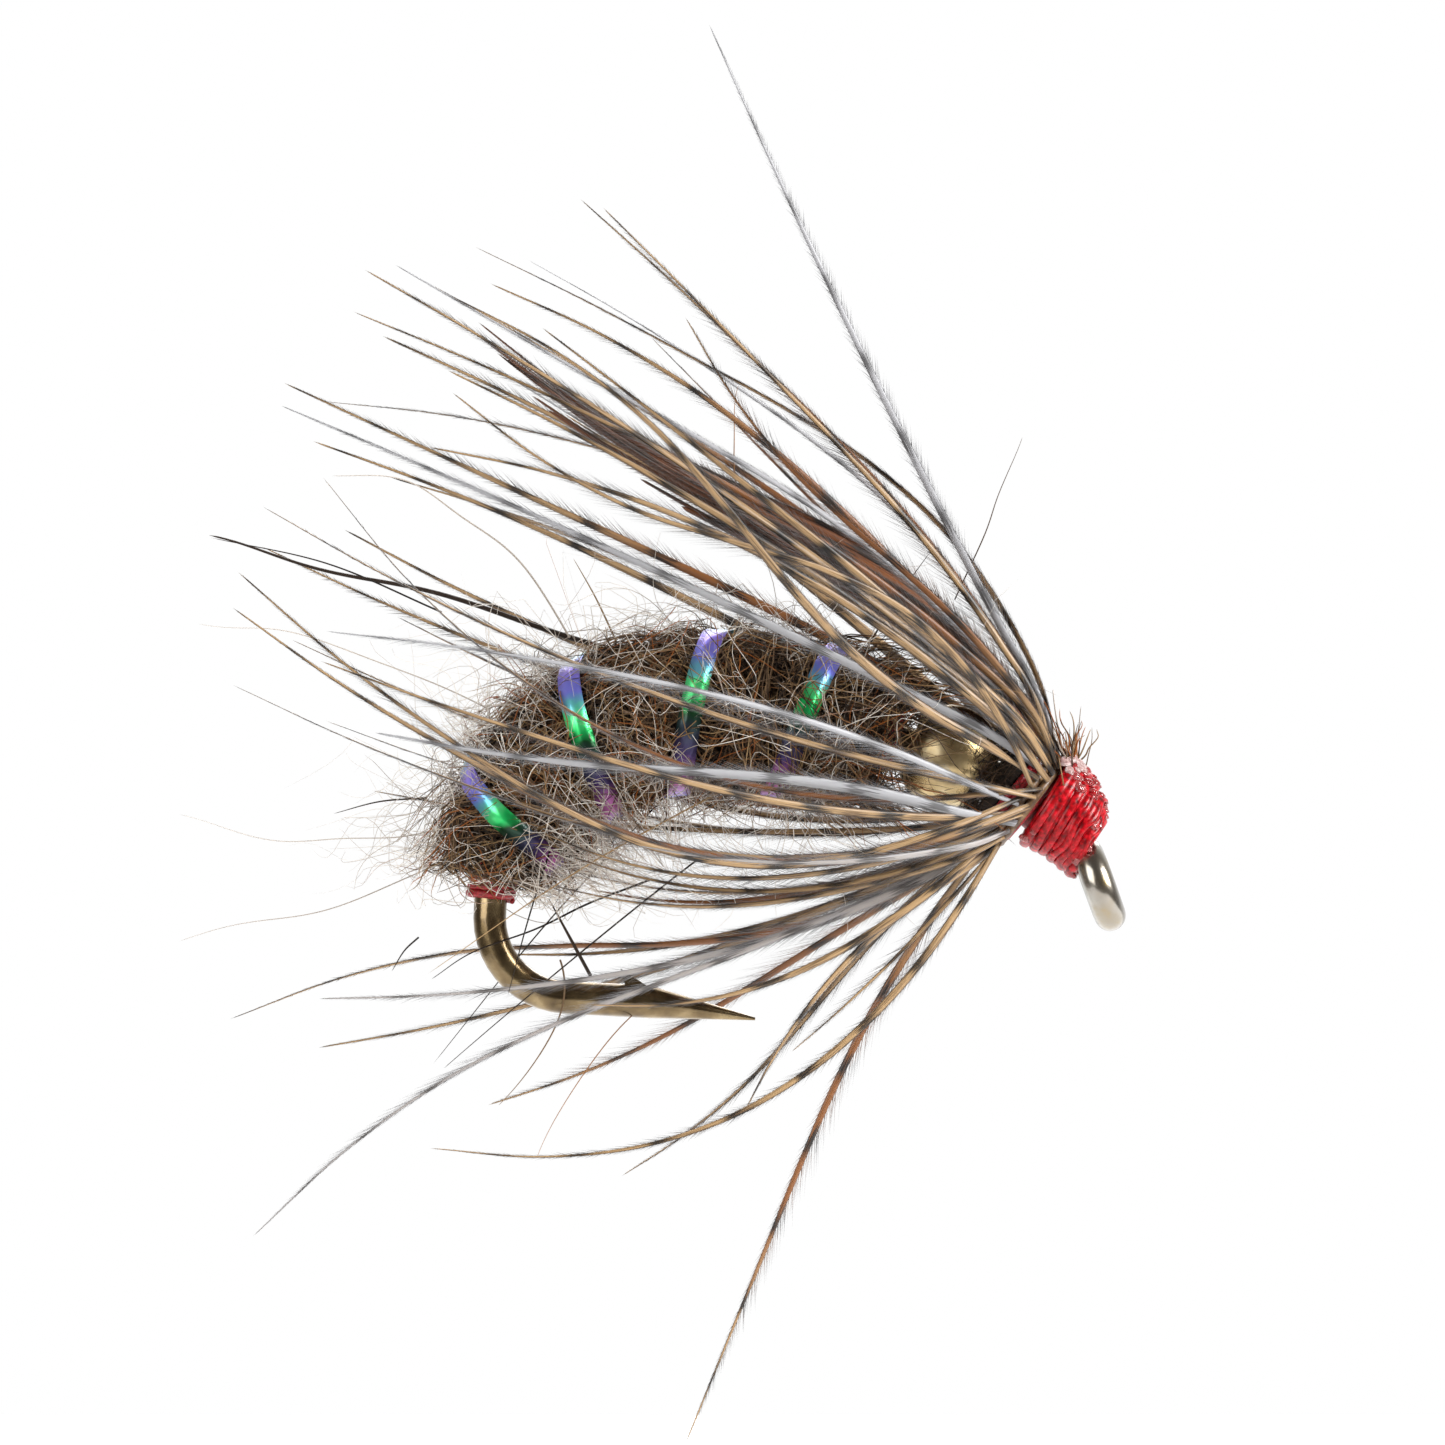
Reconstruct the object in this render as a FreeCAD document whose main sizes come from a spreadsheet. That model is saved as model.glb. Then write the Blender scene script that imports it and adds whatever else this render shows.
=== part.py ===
"""A weighted soft-hackle fly on a curved hook with a turned-down eye, in millimetres.

The fly is built the way it is tied: a bead slides onto the wire, thread covers the wire, fur is
spun over the thread and ribbed with flat tinsel, brown wing fibres and a partridge hackle are
bound in behind the eye, and a varnished thread head closes it.

Frame: the origin is the centre of the hook's eye. +X is the way the head faces, +Z is up with
the hook's point level, and Y is across the hook. What sits on the wire is placed by its distance
along the wire from the eye, called its station.
"""
import FreeCAD, Part
import math
import os

import Sketcher

SIZES = (
    # the wire, from the eye to the point
    ("wire_dia", 0.56),
    ("eye_wire_dia", 0.54),
    ("eye_bore_dia", 0.60),
    ("eye_land_depth", 0.02),
    ("eye_tilt", 70.0),
    ("shank_angle", 140.0),
    ("shank_run", 1.72),
    ("neck_radius", 2.50),
    ("neck_sweep", 18.0),
    ("back_radius", 12.50),
    ("back_sweep", 22.0),
    ("rump_radius", 3.50),
    ("rump_sweep", 90.0),
    ("bend_radius", 1.35),
    ("bend_sweep", 87.0),
    ("point_run", 1.45),
    ("point_taper", 1.80),
    ("point_tip_dia", 0.05),
    ("point_drop_share", 0.385),
    ("barb_at", 1.05),
    ("barb_foot", 0.55),
    ("barb_lead", 0.13),
    ("barb_rise", 0.54),
    ("barb_width", 0.16),
    # the bead
    ("bead_dia", 1.80),
    ("bead_bore_dia", 0.86),
    ("bead_sink_dia", 1.16),
    ("bead_sink_depth", 0.20),
    ("bead_at", 2.90),
    # thread, and what it binds
    ("thread_dia", 0.11),
    ("thread_layer", 0.07),
    ("thread_slack", 0.005),
    ("head_at", 0.23),
    ("head_length", 1.10),
    ("head_back_dia", 1.66),
    ("head_front_dia", 1.06),
    ("head_lift", 0.26),
    ("head_tilt", 8.6),
    ("varnish_depth", 0.06),
    ("binding_dia", 1.36),
    ("binding_length", 0.55),
    ("dam_height", 0.16),
    ("tag_height", 0.10),
    # fur and tinsel
    ("fur_gap", 0.03),
    ("collar_dia", 1.50),
    ("thorax_dia", 2.30),
    ("thorax_length", 2.15),
    ("abdomen_dia", 2.70),
    ("abdomen_rear_dia", 1.10),
    ("abdomen_length", 5.75),
    ("tinsel_width", 0.40),
    ("tinsel_depth", 0.03),
    ("tinsel_pitch", 1.90),
    ("tinsel_start", 166.0),
    # feather and hair
    ("stem_dia", 0.16),
    ("fibre_standoff", 0.22),
    ("fibre_root_share", 0.60),
    ("fibre_depth_share", 0.35),
    ("wing_spread", 80.0),
    ("butt_dia", 0.07),
    ("hair_dia", 0.08),
)
DAM_TURNS = 3
TAG_TURNS = 4
STEM_TURNS = 2
BUMP = 0.6  # a wound thread's side, as an arc of this many thread diameters
TINSEL_STEPS = 24  # sections in one turn of the tinsel
FIBRE_STATIONS = 9
FIBRE_CROWDING = 1.25  # above 1, a fibre's sections stand closer together near its root

# Hackle fibres, group by group. Each row is how far the tip lies back, up and out (+ is the far
# side) from the middle of the wound stem, how far the fibre's middle bows, how far it bends into
# an S, and how wide it is.
HACKLE = (
    ("hackle_crown", (
        (5.4, 13.2, -1.0, -0.15, 0.00, 0.20),
        (7.6, 10.3, 0.8, 0.60, 0.10, 0.18),
        (7.2, 10.1, -0.9, 0.45, 0.10, 0.18),
        (9.4, 9.5, 1.4, 1.50, 0.30, 0.18),
        (9.1, 8.8, -1.3, 0.80, -0.10, 0.18),
        (8.5, 9.3, 2.2, 1.10, 0.15, 0.16),
    )),
    ("hackle_upper_near", (
        (5.8, 8.2, -2.4, -0.10, 0.25, 0.18),
        (10.7, 9.1, -1.9, 0.75, 0.20, 0.20),
        (11.2, 9.0, -2.5, 0.35, 0.00, 0.20),
        (11.4, 8.3, -2.3, 0.85, 0.10, 0.18),
        (9.8, 7.3, -2.9, 0.40, 0.00, 0.20),
        (9.7, 6.9, -3.9, 0.75, 0.60, 0.22),
        (9.7, 8.5, -4.4, 0.00, -0.45, 0.28),
        (10.1, 6.0, -3.1, 1.00, 0.00, 0.18),
        (8.2, 8.0, -3.3, 0.25, 0.05, 0.26),
        (12.6, 6.7, -3.2, 0.15, 0.00, 0.22),
    )),
    ("hackle_upper_far", (
        (11.0, 8.0, 2.3, 0.60, 0.05, 0.20),
        (12.7, 7.2, 2.5, 0.20, 0.05, 0.24),
        (12.2, 6.2, 2.5, 0.10, -0.10, 0.22),
        (12.1, 6.9, 3.1, 1.80, 0.15, 0.10),
        (10.2, 8.9, 2.6, 0.70, 0.10, 0.20),
        (9.3, 7.6, 3.6, 0.50, 0.10, 0.22),
        (7.9, 6.7, 4.2, 0.30, 0.00, 0.26),
        (6.4, 8.0, 3.4, 0.20, 0.05, 0.22),
        (10.9, 5.6, 3.8, 0.60, 0.00, 0.20),
    )),
    ("hackle_flank_near", (
        (12.9, 5.0, -3.3, -0.65, 0.00, 0.18),
        (11.9, 5.5, -2.9, -2.10, -0.05, 0.15),
        (13.3, 3.9, -3.9, -2.45, -0.35, 0.20),
        (13.4, 3.3, -3.4, -2.05, -0.30, 0.20),
        (13.4, 2.0, -3.1, -1.40, -0.20, 0.18),
        (11.8, 2.9, -4.4, 0.55, 0.05, 0.18),
        (11.0, 1.2, -3.7, 0.15, 0.15, 0.26),
        (11.9, 2.4, -4.0, -0.60, -0.10, 0.20),
    )),
    ("hackle_flank_far", (
        (13.1, 4.4, 3.3, -0.50, 0.00, 0.20),
        (11.7, 4.7, 4.2, -0.30, 0.05, 0.22),
        (12.6, 2.8, 3.7, -1.10, -0.20, 0.20),
        (10.8, 3.2, 4.5, -0.50, 0.00, 0.24),
        (12.0, 1.4, 3.5, -0.90, -0.10, 0.20),
        (9.9, 0.8, 4.2, -0.20, 0.05, 0.22),
        (11.2, 0.2, 3.1, -0.40, 0.00, 0.18),
    )),
    ("hackle_throat_near", (
        (8.2, -0.5, -2.6, -0.80, 0.05, 0.18),
        (7.7, -0.9, -2.1, -0.75, 0.00, 0.18),
        (8.0, -1.4, -1.7, -0.60, 0.05, 0.16),
        (6.6, -0.7, -3.2, -0.35, 0.00, 0.18),
        (12.0, -3.3, -1.4, -0.75, -0.05, 0.20),
        (13.1, -7.3, -2.0, 0.70, -0.25, 0.22),
        (10.1, -5.8, -2.5, -1.90, 0.05, 0.18),
        (4.8, -5.2, -1.6, 0.50, 0.00, 0.18),
        (4.0, -4.2, -1.1, -0.10, 0.00, 0.09),
        (7.4, -3.4, -1.8, -0.80, 0.05, 0.18),
    )),
    ("hackle_throat_far", (
        (7.9, -0.2, 2.8, -0.60, 0.05, 0.18),
        (8.3, -1.0, 2.2, -0.80, 0.00, 0.18),
        (7.4, -1.5, 1.8, -0.50, 0.05, 0.16),
        (13.6, -3.7, 1.6, -0.20, -0.45, 0.20),
        (12.1, -4.2, 2.2, -0.45, 0.00, 0.18),
        (5.8, -10.9, 0.6, 0.40, 0.10, 0.22),
        (9.2, -5.2, 2.9, -0.30, 0.10, 0.18),
        (6.9, -6.4, 2.3, -0.20, 0.15, 0.18),
        (8.9, -2.6, 2.0, -0.60, 0.00, 0.18),
    )),
)
# The wing's fibres, row for row as above but measured from where the thread binds them.
WING = (
    (9.0, 7.9, -0.4, 0.55, 0.40, 0.20),
    (8.7, 7.4, 0.4, 0.50, 0.35, 0.22),
    (8.2, 7.1, -0.7, 0.45, 0.30, 0.22),
    (7.7, 6.6, 0.5, 0.50, 0.30, 0.24),
    (7.0, 6.2, -0.2, 0.45, 0.25, 0.26),
    (6.3, 5.7, 0.7, 0.40, 0.20, 0.28),
    (5.6, 5.4, -0.8, 0.35, 0.15, 0.28),
    (4.9, 4.8, 0.1, 0.40, 0.10, 0.30),
    (4.1, 4.3, -0.5, 0.35, 0.10, 0.32),
    (3.3, 3.9, 0.4, 0.30, 0.05, 0.30),
)
# The wing's trimmed butts: how far each leans forward, up and out from the top of the head.
BUTTS = (
    (0.10, 0.62, -0.10),
    (0.24, 0.70, 0.08),
    (0.36, 0.52, -0.22),
    (0.02, 0.78, 0.20),
    (0.42, 0.40, 0.16),
    (-0.10, 0.55, 0.02),
    (0.50, 0.58, -0.02),
)
# Guard hairs of the fur: the station of the root, and how far back, up and out the tip lies.
GUARD_HAIRS = (
    (6.2, 9.3, 3.0, -1.3),
    (5.0, 6.8, -4.2, -2.6),
    (6.6, 5.2, -6.0, 1.8),
    (9.4, 1.2, -4.2, -1.9),
    (10.7, 2.3, -2.9, 1.2),
    (11.2, -1.6, -3.0, -0.9),
    (10.2, 3.6, -0.6, 0.9),
    (8.0, 1.4, 2.7, 1.1),
    (5.2, -1.9, 2.9, 1.4),
    (7.2, 2.6, -3.4, 2.3),
)

doc = FreeCAD.newDocument("fly")
sheet = doc.addObject("Spreadsheet::Sheet", "Sizes")
parts = []
ACROSS = FreeCAD.Vector(0, 1, 0)


def fill_sheet():
    """One row for each driving dimension: its name, its value and its alias."""
    for row, (name, value) in enumerate(SIZES, start=1):
        sheet.set(f"A{row}", name)
        sheet.set(f"B{row}", str(value))
        sheet.setAlias(f"B{row}", name)
    doc.recompute()


def size(name):
    """A driving dimension, read from the sheet."""
    return float(sheet.get(name))


def value_of(expression):
    """What an expression of sheet cells comes to, as a plain number."""
    found = sheet.evalExpression(expression)
    return float(getattr(found, "Value", found))


def vector(forward, out, up):
    return FreeCAD.Vector(forward, out, up)


def keep(thing, label):
    """Registers a sub-part under its own name."""
    thing.Label = label
    parts.append(thing)
    return thing


def add_shape(label, shape, place=None):
    """A sub-part made with Part's own functions, put in its place after its shape is set."""
    feature = doc.addObject("Part::Feature", label)
    feature.Shape = shape
    feature.Placement = place or FreeCAD.Placement()
    return keep(feature, label)


# The wire's line and the stations along it


def eye_reach():
    """How far from the middle of the eye the wire's own middle runs round it."""
    return (size("eye_bore_dia") + size("eye_wire_dia")) / 2 - size("eye_land_depth")


class Wire:
    """The middle line of the hook's wire: a straight run, four arcs that all turn the same way
    and the straight point. Headings are angles from +X towards +Z, going away from the eye."""

    def __init__(self):
        tilt = math.radians(size("eye_tilt"))
        start = vector(-math.cos(tilt), 0, math.sin(tilt)) * eye_reach()
        heading = math.radians(size("shank_angle"))
        rows = [(None, size("shank_run"))]
        for name in ("neck", "back", "rump", "bend"):
            rows.append((size(f"{name}_radius"), math.radians(size(f"{name}_sweep"))))
        rows.append((None, size("point_run") + size("point_taper")))
        self.runs = []
        self.length = 0.0
        for radius, amount in rows:
            length = amount if radius is None else radius * amount
            self.runs.append((self.length, length, radius, start, heading))
            start, heading = self.along(radius, start, heading, length)
            self.length += length

    @staticmethod
    def along(radius, start, heading, distance):
        """The place and the heading some distance into a run."""
        if radius is None:
            step = vector(math.cos(heading), 0, math.sin(heading)) * distance
            return start + step, heading
        turned = heading + distance / radius
        rise = math.cos(heading) - math.cos(turned)
        step = vector(math.sin(turned) - math.sin(heading), 0, rise) * radius
        return start + step, turned

    def station(self, s):
        """The place at a station, the unit vector towards the eye and the one out of the bend."""
        run = [row for row in self.runs if row[0] <= s + 1e-9][-1]
        point, heading = self.along(run[2], run[3], run[4], s - run[0])
        forward = vector(-math.cos(heading), 0, -math.sin(heading))
        outward = vector(math.sin(heading), 0, -math.cos(heading))
        return point, forward, outward

    def arc_at(self, s):
        """The name of the size that bends the wire at a station, or None where it is straight."""
        names = (None, "neck_radius", "back_radius", "rump_radius", "bend_radius", None)
        return names[sum(row[0] <= s + 1e-9 for row in self.runs) - 1]

    def path(self, first, last):
        """The middle line between two stations, as joined lines and arcs."""
        edges = []
        for at, length, radius, _, _ in self.runs:
            low, high = max(at, first), min(at + length, last)
            if high - low < 1e-6:
                continue
            ends = [self.station(low + 1e-9)[0], self.station(high - 1e-9)[0]]
            if radius is None:
                edges.append(Part.LineSegment(*ends).toShape())
            else:
                middle = self.station((low + high) / 2)[0]
                edges.append(Part.Arc(ends[0], middle, ends[1]).toShape())
        return Part.Wire(edges)

    def tube(self, first, last, radius):
        """A round rod that follows the wire between two stations."""
        point, forward, _ = self.station(first)
        section = Part.Wire([Part.Circle(point, forward, radius).toShape()])
        return self.path(first, last).makePipe(Part.Face(section))


def facing(point, forward):
    """A Placement with local Z along forward, local Y across the hook and local X towards the
    inside of the bend."""
    turn = FreeCAD.Rotation(ACROSS.cross(forward), ACROSS, forward, "ZXY")
    return FreeCAD.Placement(point, turn)


def layer_radius():
    """The outside of the single layer of thread on the wire."""
    return size("wire_dia") / 2 + size("thread_layer")


def turns_in(length):
    """How many turns of thread lie side by side in a length: a thicker thread takes fewer."""
    return max(round(size(length) / size("thread_dia")), 1)


def head_end():
    """The head's back face, which stands square to the wire and trims its leaning turns."""
    tilt = math.radians(size("head_tilt"))
    whole = turns_in("head_length") * size("thread_dia") * math.cos(tilt)
    return size("head_at") + whole - size("head_back_dia") / 2 * math.sin(tilt)


def binding_end():
    return head_end() + turns_in("binding_length") * size("thread_dia")


def dam_start():
    """The rear of the bead, where the thread dam begins."""
    return size("bead_at") + size("bead_dia") / 2


def dam_end():
    return dam_start() + DAM_TURNS * size("thread_dia")


def thorax_end():
    return dam_end() + size("thorax_length")


def abdomen_end():
    return thorax_end() + size("abdomen_length")


def tag_end():
    return abdomen_end() + TAG_TURNS * size("thread_dia")


def stem_end():
    """The rear of the wound stem, whose turns fill one width more than their number."""
    return head_end() + (STEM_TURNS + 1) * size("stem_dia")


def stem_ring_radius():
    """The middle of the wound stem, resting on the binding."""
    return size("binding_dia") / 2 + thread_bump() + size("stem_dia") / 2


def thread_bump():
    """How far a wound turn of thread stands out between its edges."""
    radius = BUMP * size("thread_dia")
    return radius - math.sqrt(radius**2 - (size("thread_dia") / 2) ** 2)


# Bodies and sketches


def new_body(label):
    return keep(doc.addObject("PartDesign::Body", label), label)


def new_sketch(body, name):
    """A sketch on the body's XZ plane, which is the plane of the bend."""
    sketch = body.newObject("Sketcher::SketchObject", name)
    plane = next(o for o in body.Origin.OriginFeatures if o.Role == "XZ_Plane")
    sketch.AttachmentSupport = [(plane, "")]
    sketch.MapMode = "FlatFace"
    return sketch


def bind(sketch, kind, *where, to):
    """Adds a constraint whose value follows an expression of sheet cells."""
    amount = value_of(to)
    if kind == "Angle":
        amount, to = math.radians(amount), f"({to}) * 1 deg"
    row = sketch.addConstraint(Sketcher.Constraint(kind, *where, amount))
    sketch.setExpression(f"Constraints[{row}]", to)


def pin(sketch, edge, end, across, along):
    """Ties a point of an edge to the sketch's origin by two expressions."""
    for kind, to in (("DistanceX", across), ("DistanceY", along)):
        bind(sketch, kind, -1, 1, edge, end, to=to)


def join(sketch, edges):
    """Ties a closed run of edges end to start."""
    for one, other in zip(edges, edges[1:] + edges[:1]):
        sketch.addConstraint(Sketcher.Constraint("Coincident", one, 2, other, 1))


def segment(sketch, first, last, construction=False):
    return sketch.addGeometry(Part.LineSegment(first, last), construction)


def turn(body, sketch, axis="V_Axis", kind="PartDesign::Revolution"):
    """A full turn of a sketch, checked to add to the body or to cut from it."""
    before = body.Shape.Volume if body.Tip else 0.0
    feature = body.newObject(kind, "turned")
    feature.Profile = sketch
    feature.ReferenceAxis = (sketch, [axis])
    feature.Angle = 360
    doc.recompute()
    if (body.Shape.Volume - before) * (1 if kind.endswith("Revolution") else -1) <= 0:
        raise ValueError(f"{body.Label}: {sketch.Name} changed nothing")
    return feature


# The hook

REACH = "((Sizes.eye_bore_dia + Sizes.eye_wire_dia) / 2 - Sizes.eye_land_depth)"
EYE_X = f"-{REACH} * cos(Sizes.eye_tilt * 1 deg)"
EYE_Z = f"{REACH} * sin(Sizes.eye_tilt * 1 deg)"


def shank_sketch(body, wire):
    """The wire's middle line up to where the point starts to taper, one edge for each run."""
    sketch = new_sketch(body, "middle_line")
    last = len(wire.runs) - 1
    for row, (_, length, radius, start, heading) in enumerate(wire.runs):
        if radius is None:
            length = size("point_run") if row == last else length
            end = wire.along(None, start, heading, length)[0]
            segment(sketch, vector(start.x, start.z, 0), vector(end.x, end.z, 0))
            continue
        centre = vector(start.x - radius * math.sin(heading), start.z + radius * math.cos(heading), 0)
        begin = heading - math.pi / 2
        circle = Part.Circle(centre, vector(0, 0, 1), radius)
        sketch.addGeometry(Part.ArcOfCircle(circle, begin, begin + length / radius), False)
    pin(sketch, 0, 1, EYE_X, EYE_Z)
    bind(sketch, "Distance", 0, to="Sizes.shank_run")
    bind(sketch, "Angle", 0, to="Sizes.shank_angle")
    for edge, name in enumerate(("neck", "back", "rump", "bend"), start=1):
        sketch.addConstraint(Sketcher.Constraint("Tangent", edge - 1, 2, edge, 1))
        bind(sketch, "Radius", edge, to=f"Sizes.{name}_radius")
        bind(sketch, "Angle", edge, to=f"Sizes.{name}_sweep")
    sketch.addConstraint(Sketcher.Constraint("Tangent", last - 1, 2, last, 1))
    bind(sketch, "Distance", last, to="Sizes.point_run")
    doc.recompute()
    return sketch


def round_section(body, name, path, where, diameter, ahead="0", drop="0"):
    """A circle square to the wire's line. ahead moves it on past the line's end, and drop moves
    it down, which at the point is the outside of the bend."""
    sketch = body.newObject("Sketcher::SketchObject", name)
    edge, sketch.MapPathParameter = where
    sketch.AttachmentSupport = [(path, edge)]
    sketch.MapMode = "NormalToEdge"
    doc.recompute()
    if ahead != "0":
        facing_on = sketch.Placement.Rotation.multVec(vector(0, 0, 1)).x > 0
        ahead = ahead if facing_on else f"-1 * ({ahead})"
        sketch.setExpression("AttachmentOffset.Base.z", ahead)
        doc.recompute()
    down = sketch.Placement.Rotation.inverted().multVec(vector(0, 0, -1))
    middle = vector(down.x, down.y, 0).normalize() * value_of(drop)
    circle = Part.Circle(middle, vector(0, 0, 1), value_of(diameter) / 2)
    sketch.addGeometry(circle, False)
    if drop == "0":
        sketch.addConstraint(Sketcher.Constraint("Coincident", 0, 3, -1, 1))
    else:
        sideways = abs(down.x) > abs(down.y)
        sign = math.copysign(1, down.x if sideways else down.y)
        kind, axis = ("DistanceX", -1) if sideways else ("DistanceY", -2)
        sketch.addConstraint(Sketcher.Constraint("PointOnObject", 0, 3, axis))
        bind(sketch, kind, -1, 1, 0, 3, to=f"{sign:.0f} * ({drop})")
    bind(sketch, "Diameter", 0, to=diameter)
    doc.recompute()
    return sketch


def add_eye_ring(body, wire):
    """The closed eye: the wire's section turned about the eye's own axis."""
    sketch = new_sketch(body, "eye_section")
    lean = math.radians(90 - size("eye_tilt"))
    axis = segment(sketch, vector(0, 0, 0), vector(math.cos(lean), math.sin(lean), 0), True)
    sketch.addConstraint(Sketcher.Constraint("Coincident", axis, 1, -1, 1))
    bind(sketch, "Distance", axis, to="Sizes.eye_bore_dia")
    bind(sketch, "Angle", axis, to="90 - Sizes.eye_tilt")
    place = wire.runs[0][3]
    circle = Part.Circle(vector(place.x, place.z, 0), vector(0, 0, 1), size("eye_wire_dia") / 2)
    ring = sketch.addGeometry(circle, False)
    pin(sketch, ring, 3, EYE_X, EYE_Z)
    bind(sketch, "Diameter", ring, to="Sizes.eye_wire_dia")
    doc.recompute()
    turn(body, sketch, "Axis0")


def bore_eye(body):
    """Cuts the eye's round hole, whose axis passes the origin square to the eye's ring."""
    radius, half_length = "Sizes.eye_bore_dia / 2", "Sizes.eye_wire_dia"
    lean = "90 - Sizes.eye_tilt"
    sketch = new_sketch(body, "bore_half")
    angle, half, reach = math.radians(value_of(lean)), value_of(radius), value_of(half_length)
    along = vector(math.cos(angle), math.sin(angle), 0)
    out = vector(-math.sin(angle), math.cos(angle), 0)
    corners = [-along * reach, along * reach]
    corners += [corners[1] + out * half, corners[0] + out * half]
    edges = [segment(sketch, corners[row], corners[(row + 1) % 4]) for row in range(4)]
    join(sketch, edges)
    for row in range(3):
        sketch.addConstraint(Sketcher.Constraint("Perpendicular", edges[row], edges[row + 1]))
    sketch.addConstraint(Sketcher.Constraint("Symmetric", 0, 1, 0, 2, -1, 1))
    bind(sketch, "Angle", 0, to=lean)
    bind(sketch, "Distance", 0, to=f"2 * ({half_length})")
    bind(sketch, "Distance", 1, to=radius)
    doc.recompute()
    turn(body, sketch, "Edge1", "PartDesign::Groove")


def add_barb(body, path, wire):
    """The barb: a sliver of the wire raised behind the point, set out from the point's run."""
    sketch = new_sketch(body, "barb_outline")
    run = f"Edge{len(wire.runs)}"
    sketch.addExternal(path.Name, run)
    _, _, _, start, heading = wire.runs[-1]
    ahead = vector(math.cos(heading), math.sin(heading), 0)
    above = vector(-math.sin(heading), math.cos(heading), 0)
    origin = vector(start.x, start.z, 0)
    sunk = size("wire_dia") / 4
    tip = origin + ahead * (size("barb_at") - size("barb_lead")) + above * size("barb_rise")
    rear = origin + ahead * size("barb_at") + above * sunk
    front = rear + ahead * size("barb_foot")
    edges = [segment(sketch, *ends) for ends in ((rear, front), (front, tip), (tip, rear))]
    join(sketch, edges)
    square = segment(sketch, origin, origin + above * size("wire_dia"), True)
    sketch.addConstraint(Sketcher.Constraint("Coincident", square, 1, -3, 1))
    sketch.addConstraint(Sketcher.Constraint("Perpendicular", square, -3))
    bind(sketch, "Distance", square, to="Sizes.wire_dia")
    sketch.addConstraint(Sketcher.Constraint("Parallel", 0, -3))
    bind(sketch, "Distance", 0, to="Sizes.barb_foot")
    bind(sketch, "Distance", 0, 1, -3, to="Sizes.wire_dia / 4")
    bind(sketch, "Distance", 0, 1, square, to="Sizes.barb_at")
    bind(sketch, "Distance", 2, 1, -3, to="Sizes.barb_rise")
    bind(sketch, "Distance", 2, 1, square, to="Sizes.barb_at - Sizes.barb_lead")
    doc.recompute()
    pad = body.newObject("PartDesign::Pad", "barb")
    pad.Profile = sketch
    pad.Midplane = True
    pad.setExpression("Length", "Sizes.barb_width")
    doc.recompute()


def make_hook(wire):
    """One piece of wire: shank and bend by a pipe, the point by a loft whose lower side stays
    straight, the eye turned and bored, and the barb raised by a pad."""
    body = new_body("hook")
    path = shank_sketch(body, wire)
    pipe = body.newObject("PartDesign::AdditivePipe", "shank")
    pipe.Profile = round_section(body, "wire_section", path, ("Edge1", 0.0), "Sizes.wire_dia")
    pipe.Spine = (path, [])
    doc.recompute()
    end = (f"Edge{len(wire.runs)}", 1.0)
    drop = "(Sizes.wire_dia - Sizes.point_tip_dia) * Sizes.point_drop_share"
    root = round_section(body, "point_root", path, end, "Sizes.wire_dia")
    tip = round_section(
        body, "point_end", path, end, "Sizes.point_tip_dia", "Sizes.point_taper", drop
    )
    point = body.newObject("PartDesign::AdditiveLoft", "point")
    point.Profile = root
    point.Sections = [tip]
    doc.recompute()
    add_eye_ring(body, wire)
    bore_eye(body)
    add_barb(body, path, wire)


def make_bead(wire):
    """A turned brass ball with a through bore, sunk wider at its rear end."""
    body = new_body("bead")
    sketch = new_sketch(body, "half_section")
    radius, bore = size("bead_dia") / 2, size("bead_bore_dia") / 2
    sink, depth = size("bead_sink_dia") / 2, size("bead_sink_depth")
    top, low = math.sqrt(radius**2 - bore**2), -math.sqrt(radius**2 - sink**2)
    circle = Part.Circle(vector(0, 0, 0), vector(0, 0, 1), radius)
    ends = math.atan2(low, sink), math.atan2(top, bore)
    sketch.addGeometry(Part.ArcOfCircle(circle, *ends), False)
    corners = [vector(bore, top, 0), vector(bore, low + depth, 0), vector(sink, low, 0)]
    edges = [0] + [segment(sketch, corners[row], corners[row + 1]) for row in range(2)]
    join(sketch, edges)
    sketch.addConstraint(Sketcher.Constraint("Coincident", 0, 3, -1, 1))
    sketch.addConstraint(Sketcher.Constraint("Vertical", 1))
    bind(sketch, "Radius", 0, to="Sizes.bead_dia / 2")
    bind(sketch, "DistanceX", -1, 1, 1, 1, to="Sizes.bead_bore_dia / 2")
    bind(sketch, "DistanceX", -1, 1, 0, 1, to="Sizes.bead_sink_dia / 2")
    bind(sketch, "DistanceY", 0, 1, 1, 2, to="Sizes.bead_sink_depth")
    doc.recompute()
    turn(body, sketch)
    point, forward, _ = wire.station(size("bead_at"))
    body.Placement = facing(point, forward)


# Thread

LAYER = "(Sizes.wire_dia / 2 + Sizes.thread_layer)"


def closed_outline(sketch, corners):
    """Lines through corners given as (across, along) expressions, tied to the origin."""
    places = [vector(value_of(across), value_of(along), 0) for across, along in corners]
    ends = zip(places, places[1:] + places[:1])
    join(sketch, [segment(sketch, *pair) for pair in ends])
    for edge, corner in enumerate(corners):
        hold(sketch, edge, *corner)


def hold(sketch, edge, across, along):
    """Ties an edge's first point to the origin, on an axis where a distance is nothing."""
    for kind, to, axis in (("DistanceX", across, -2), ("DistanceY", along, -1)):
        if value_of(to):
            bind(sketch, kind, -1, 1, edge, 1, to=to)
        else:
            sketch.addConstraint(Sketcher.Constraint("PointOnObject", edge, 1, axis))


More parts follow.
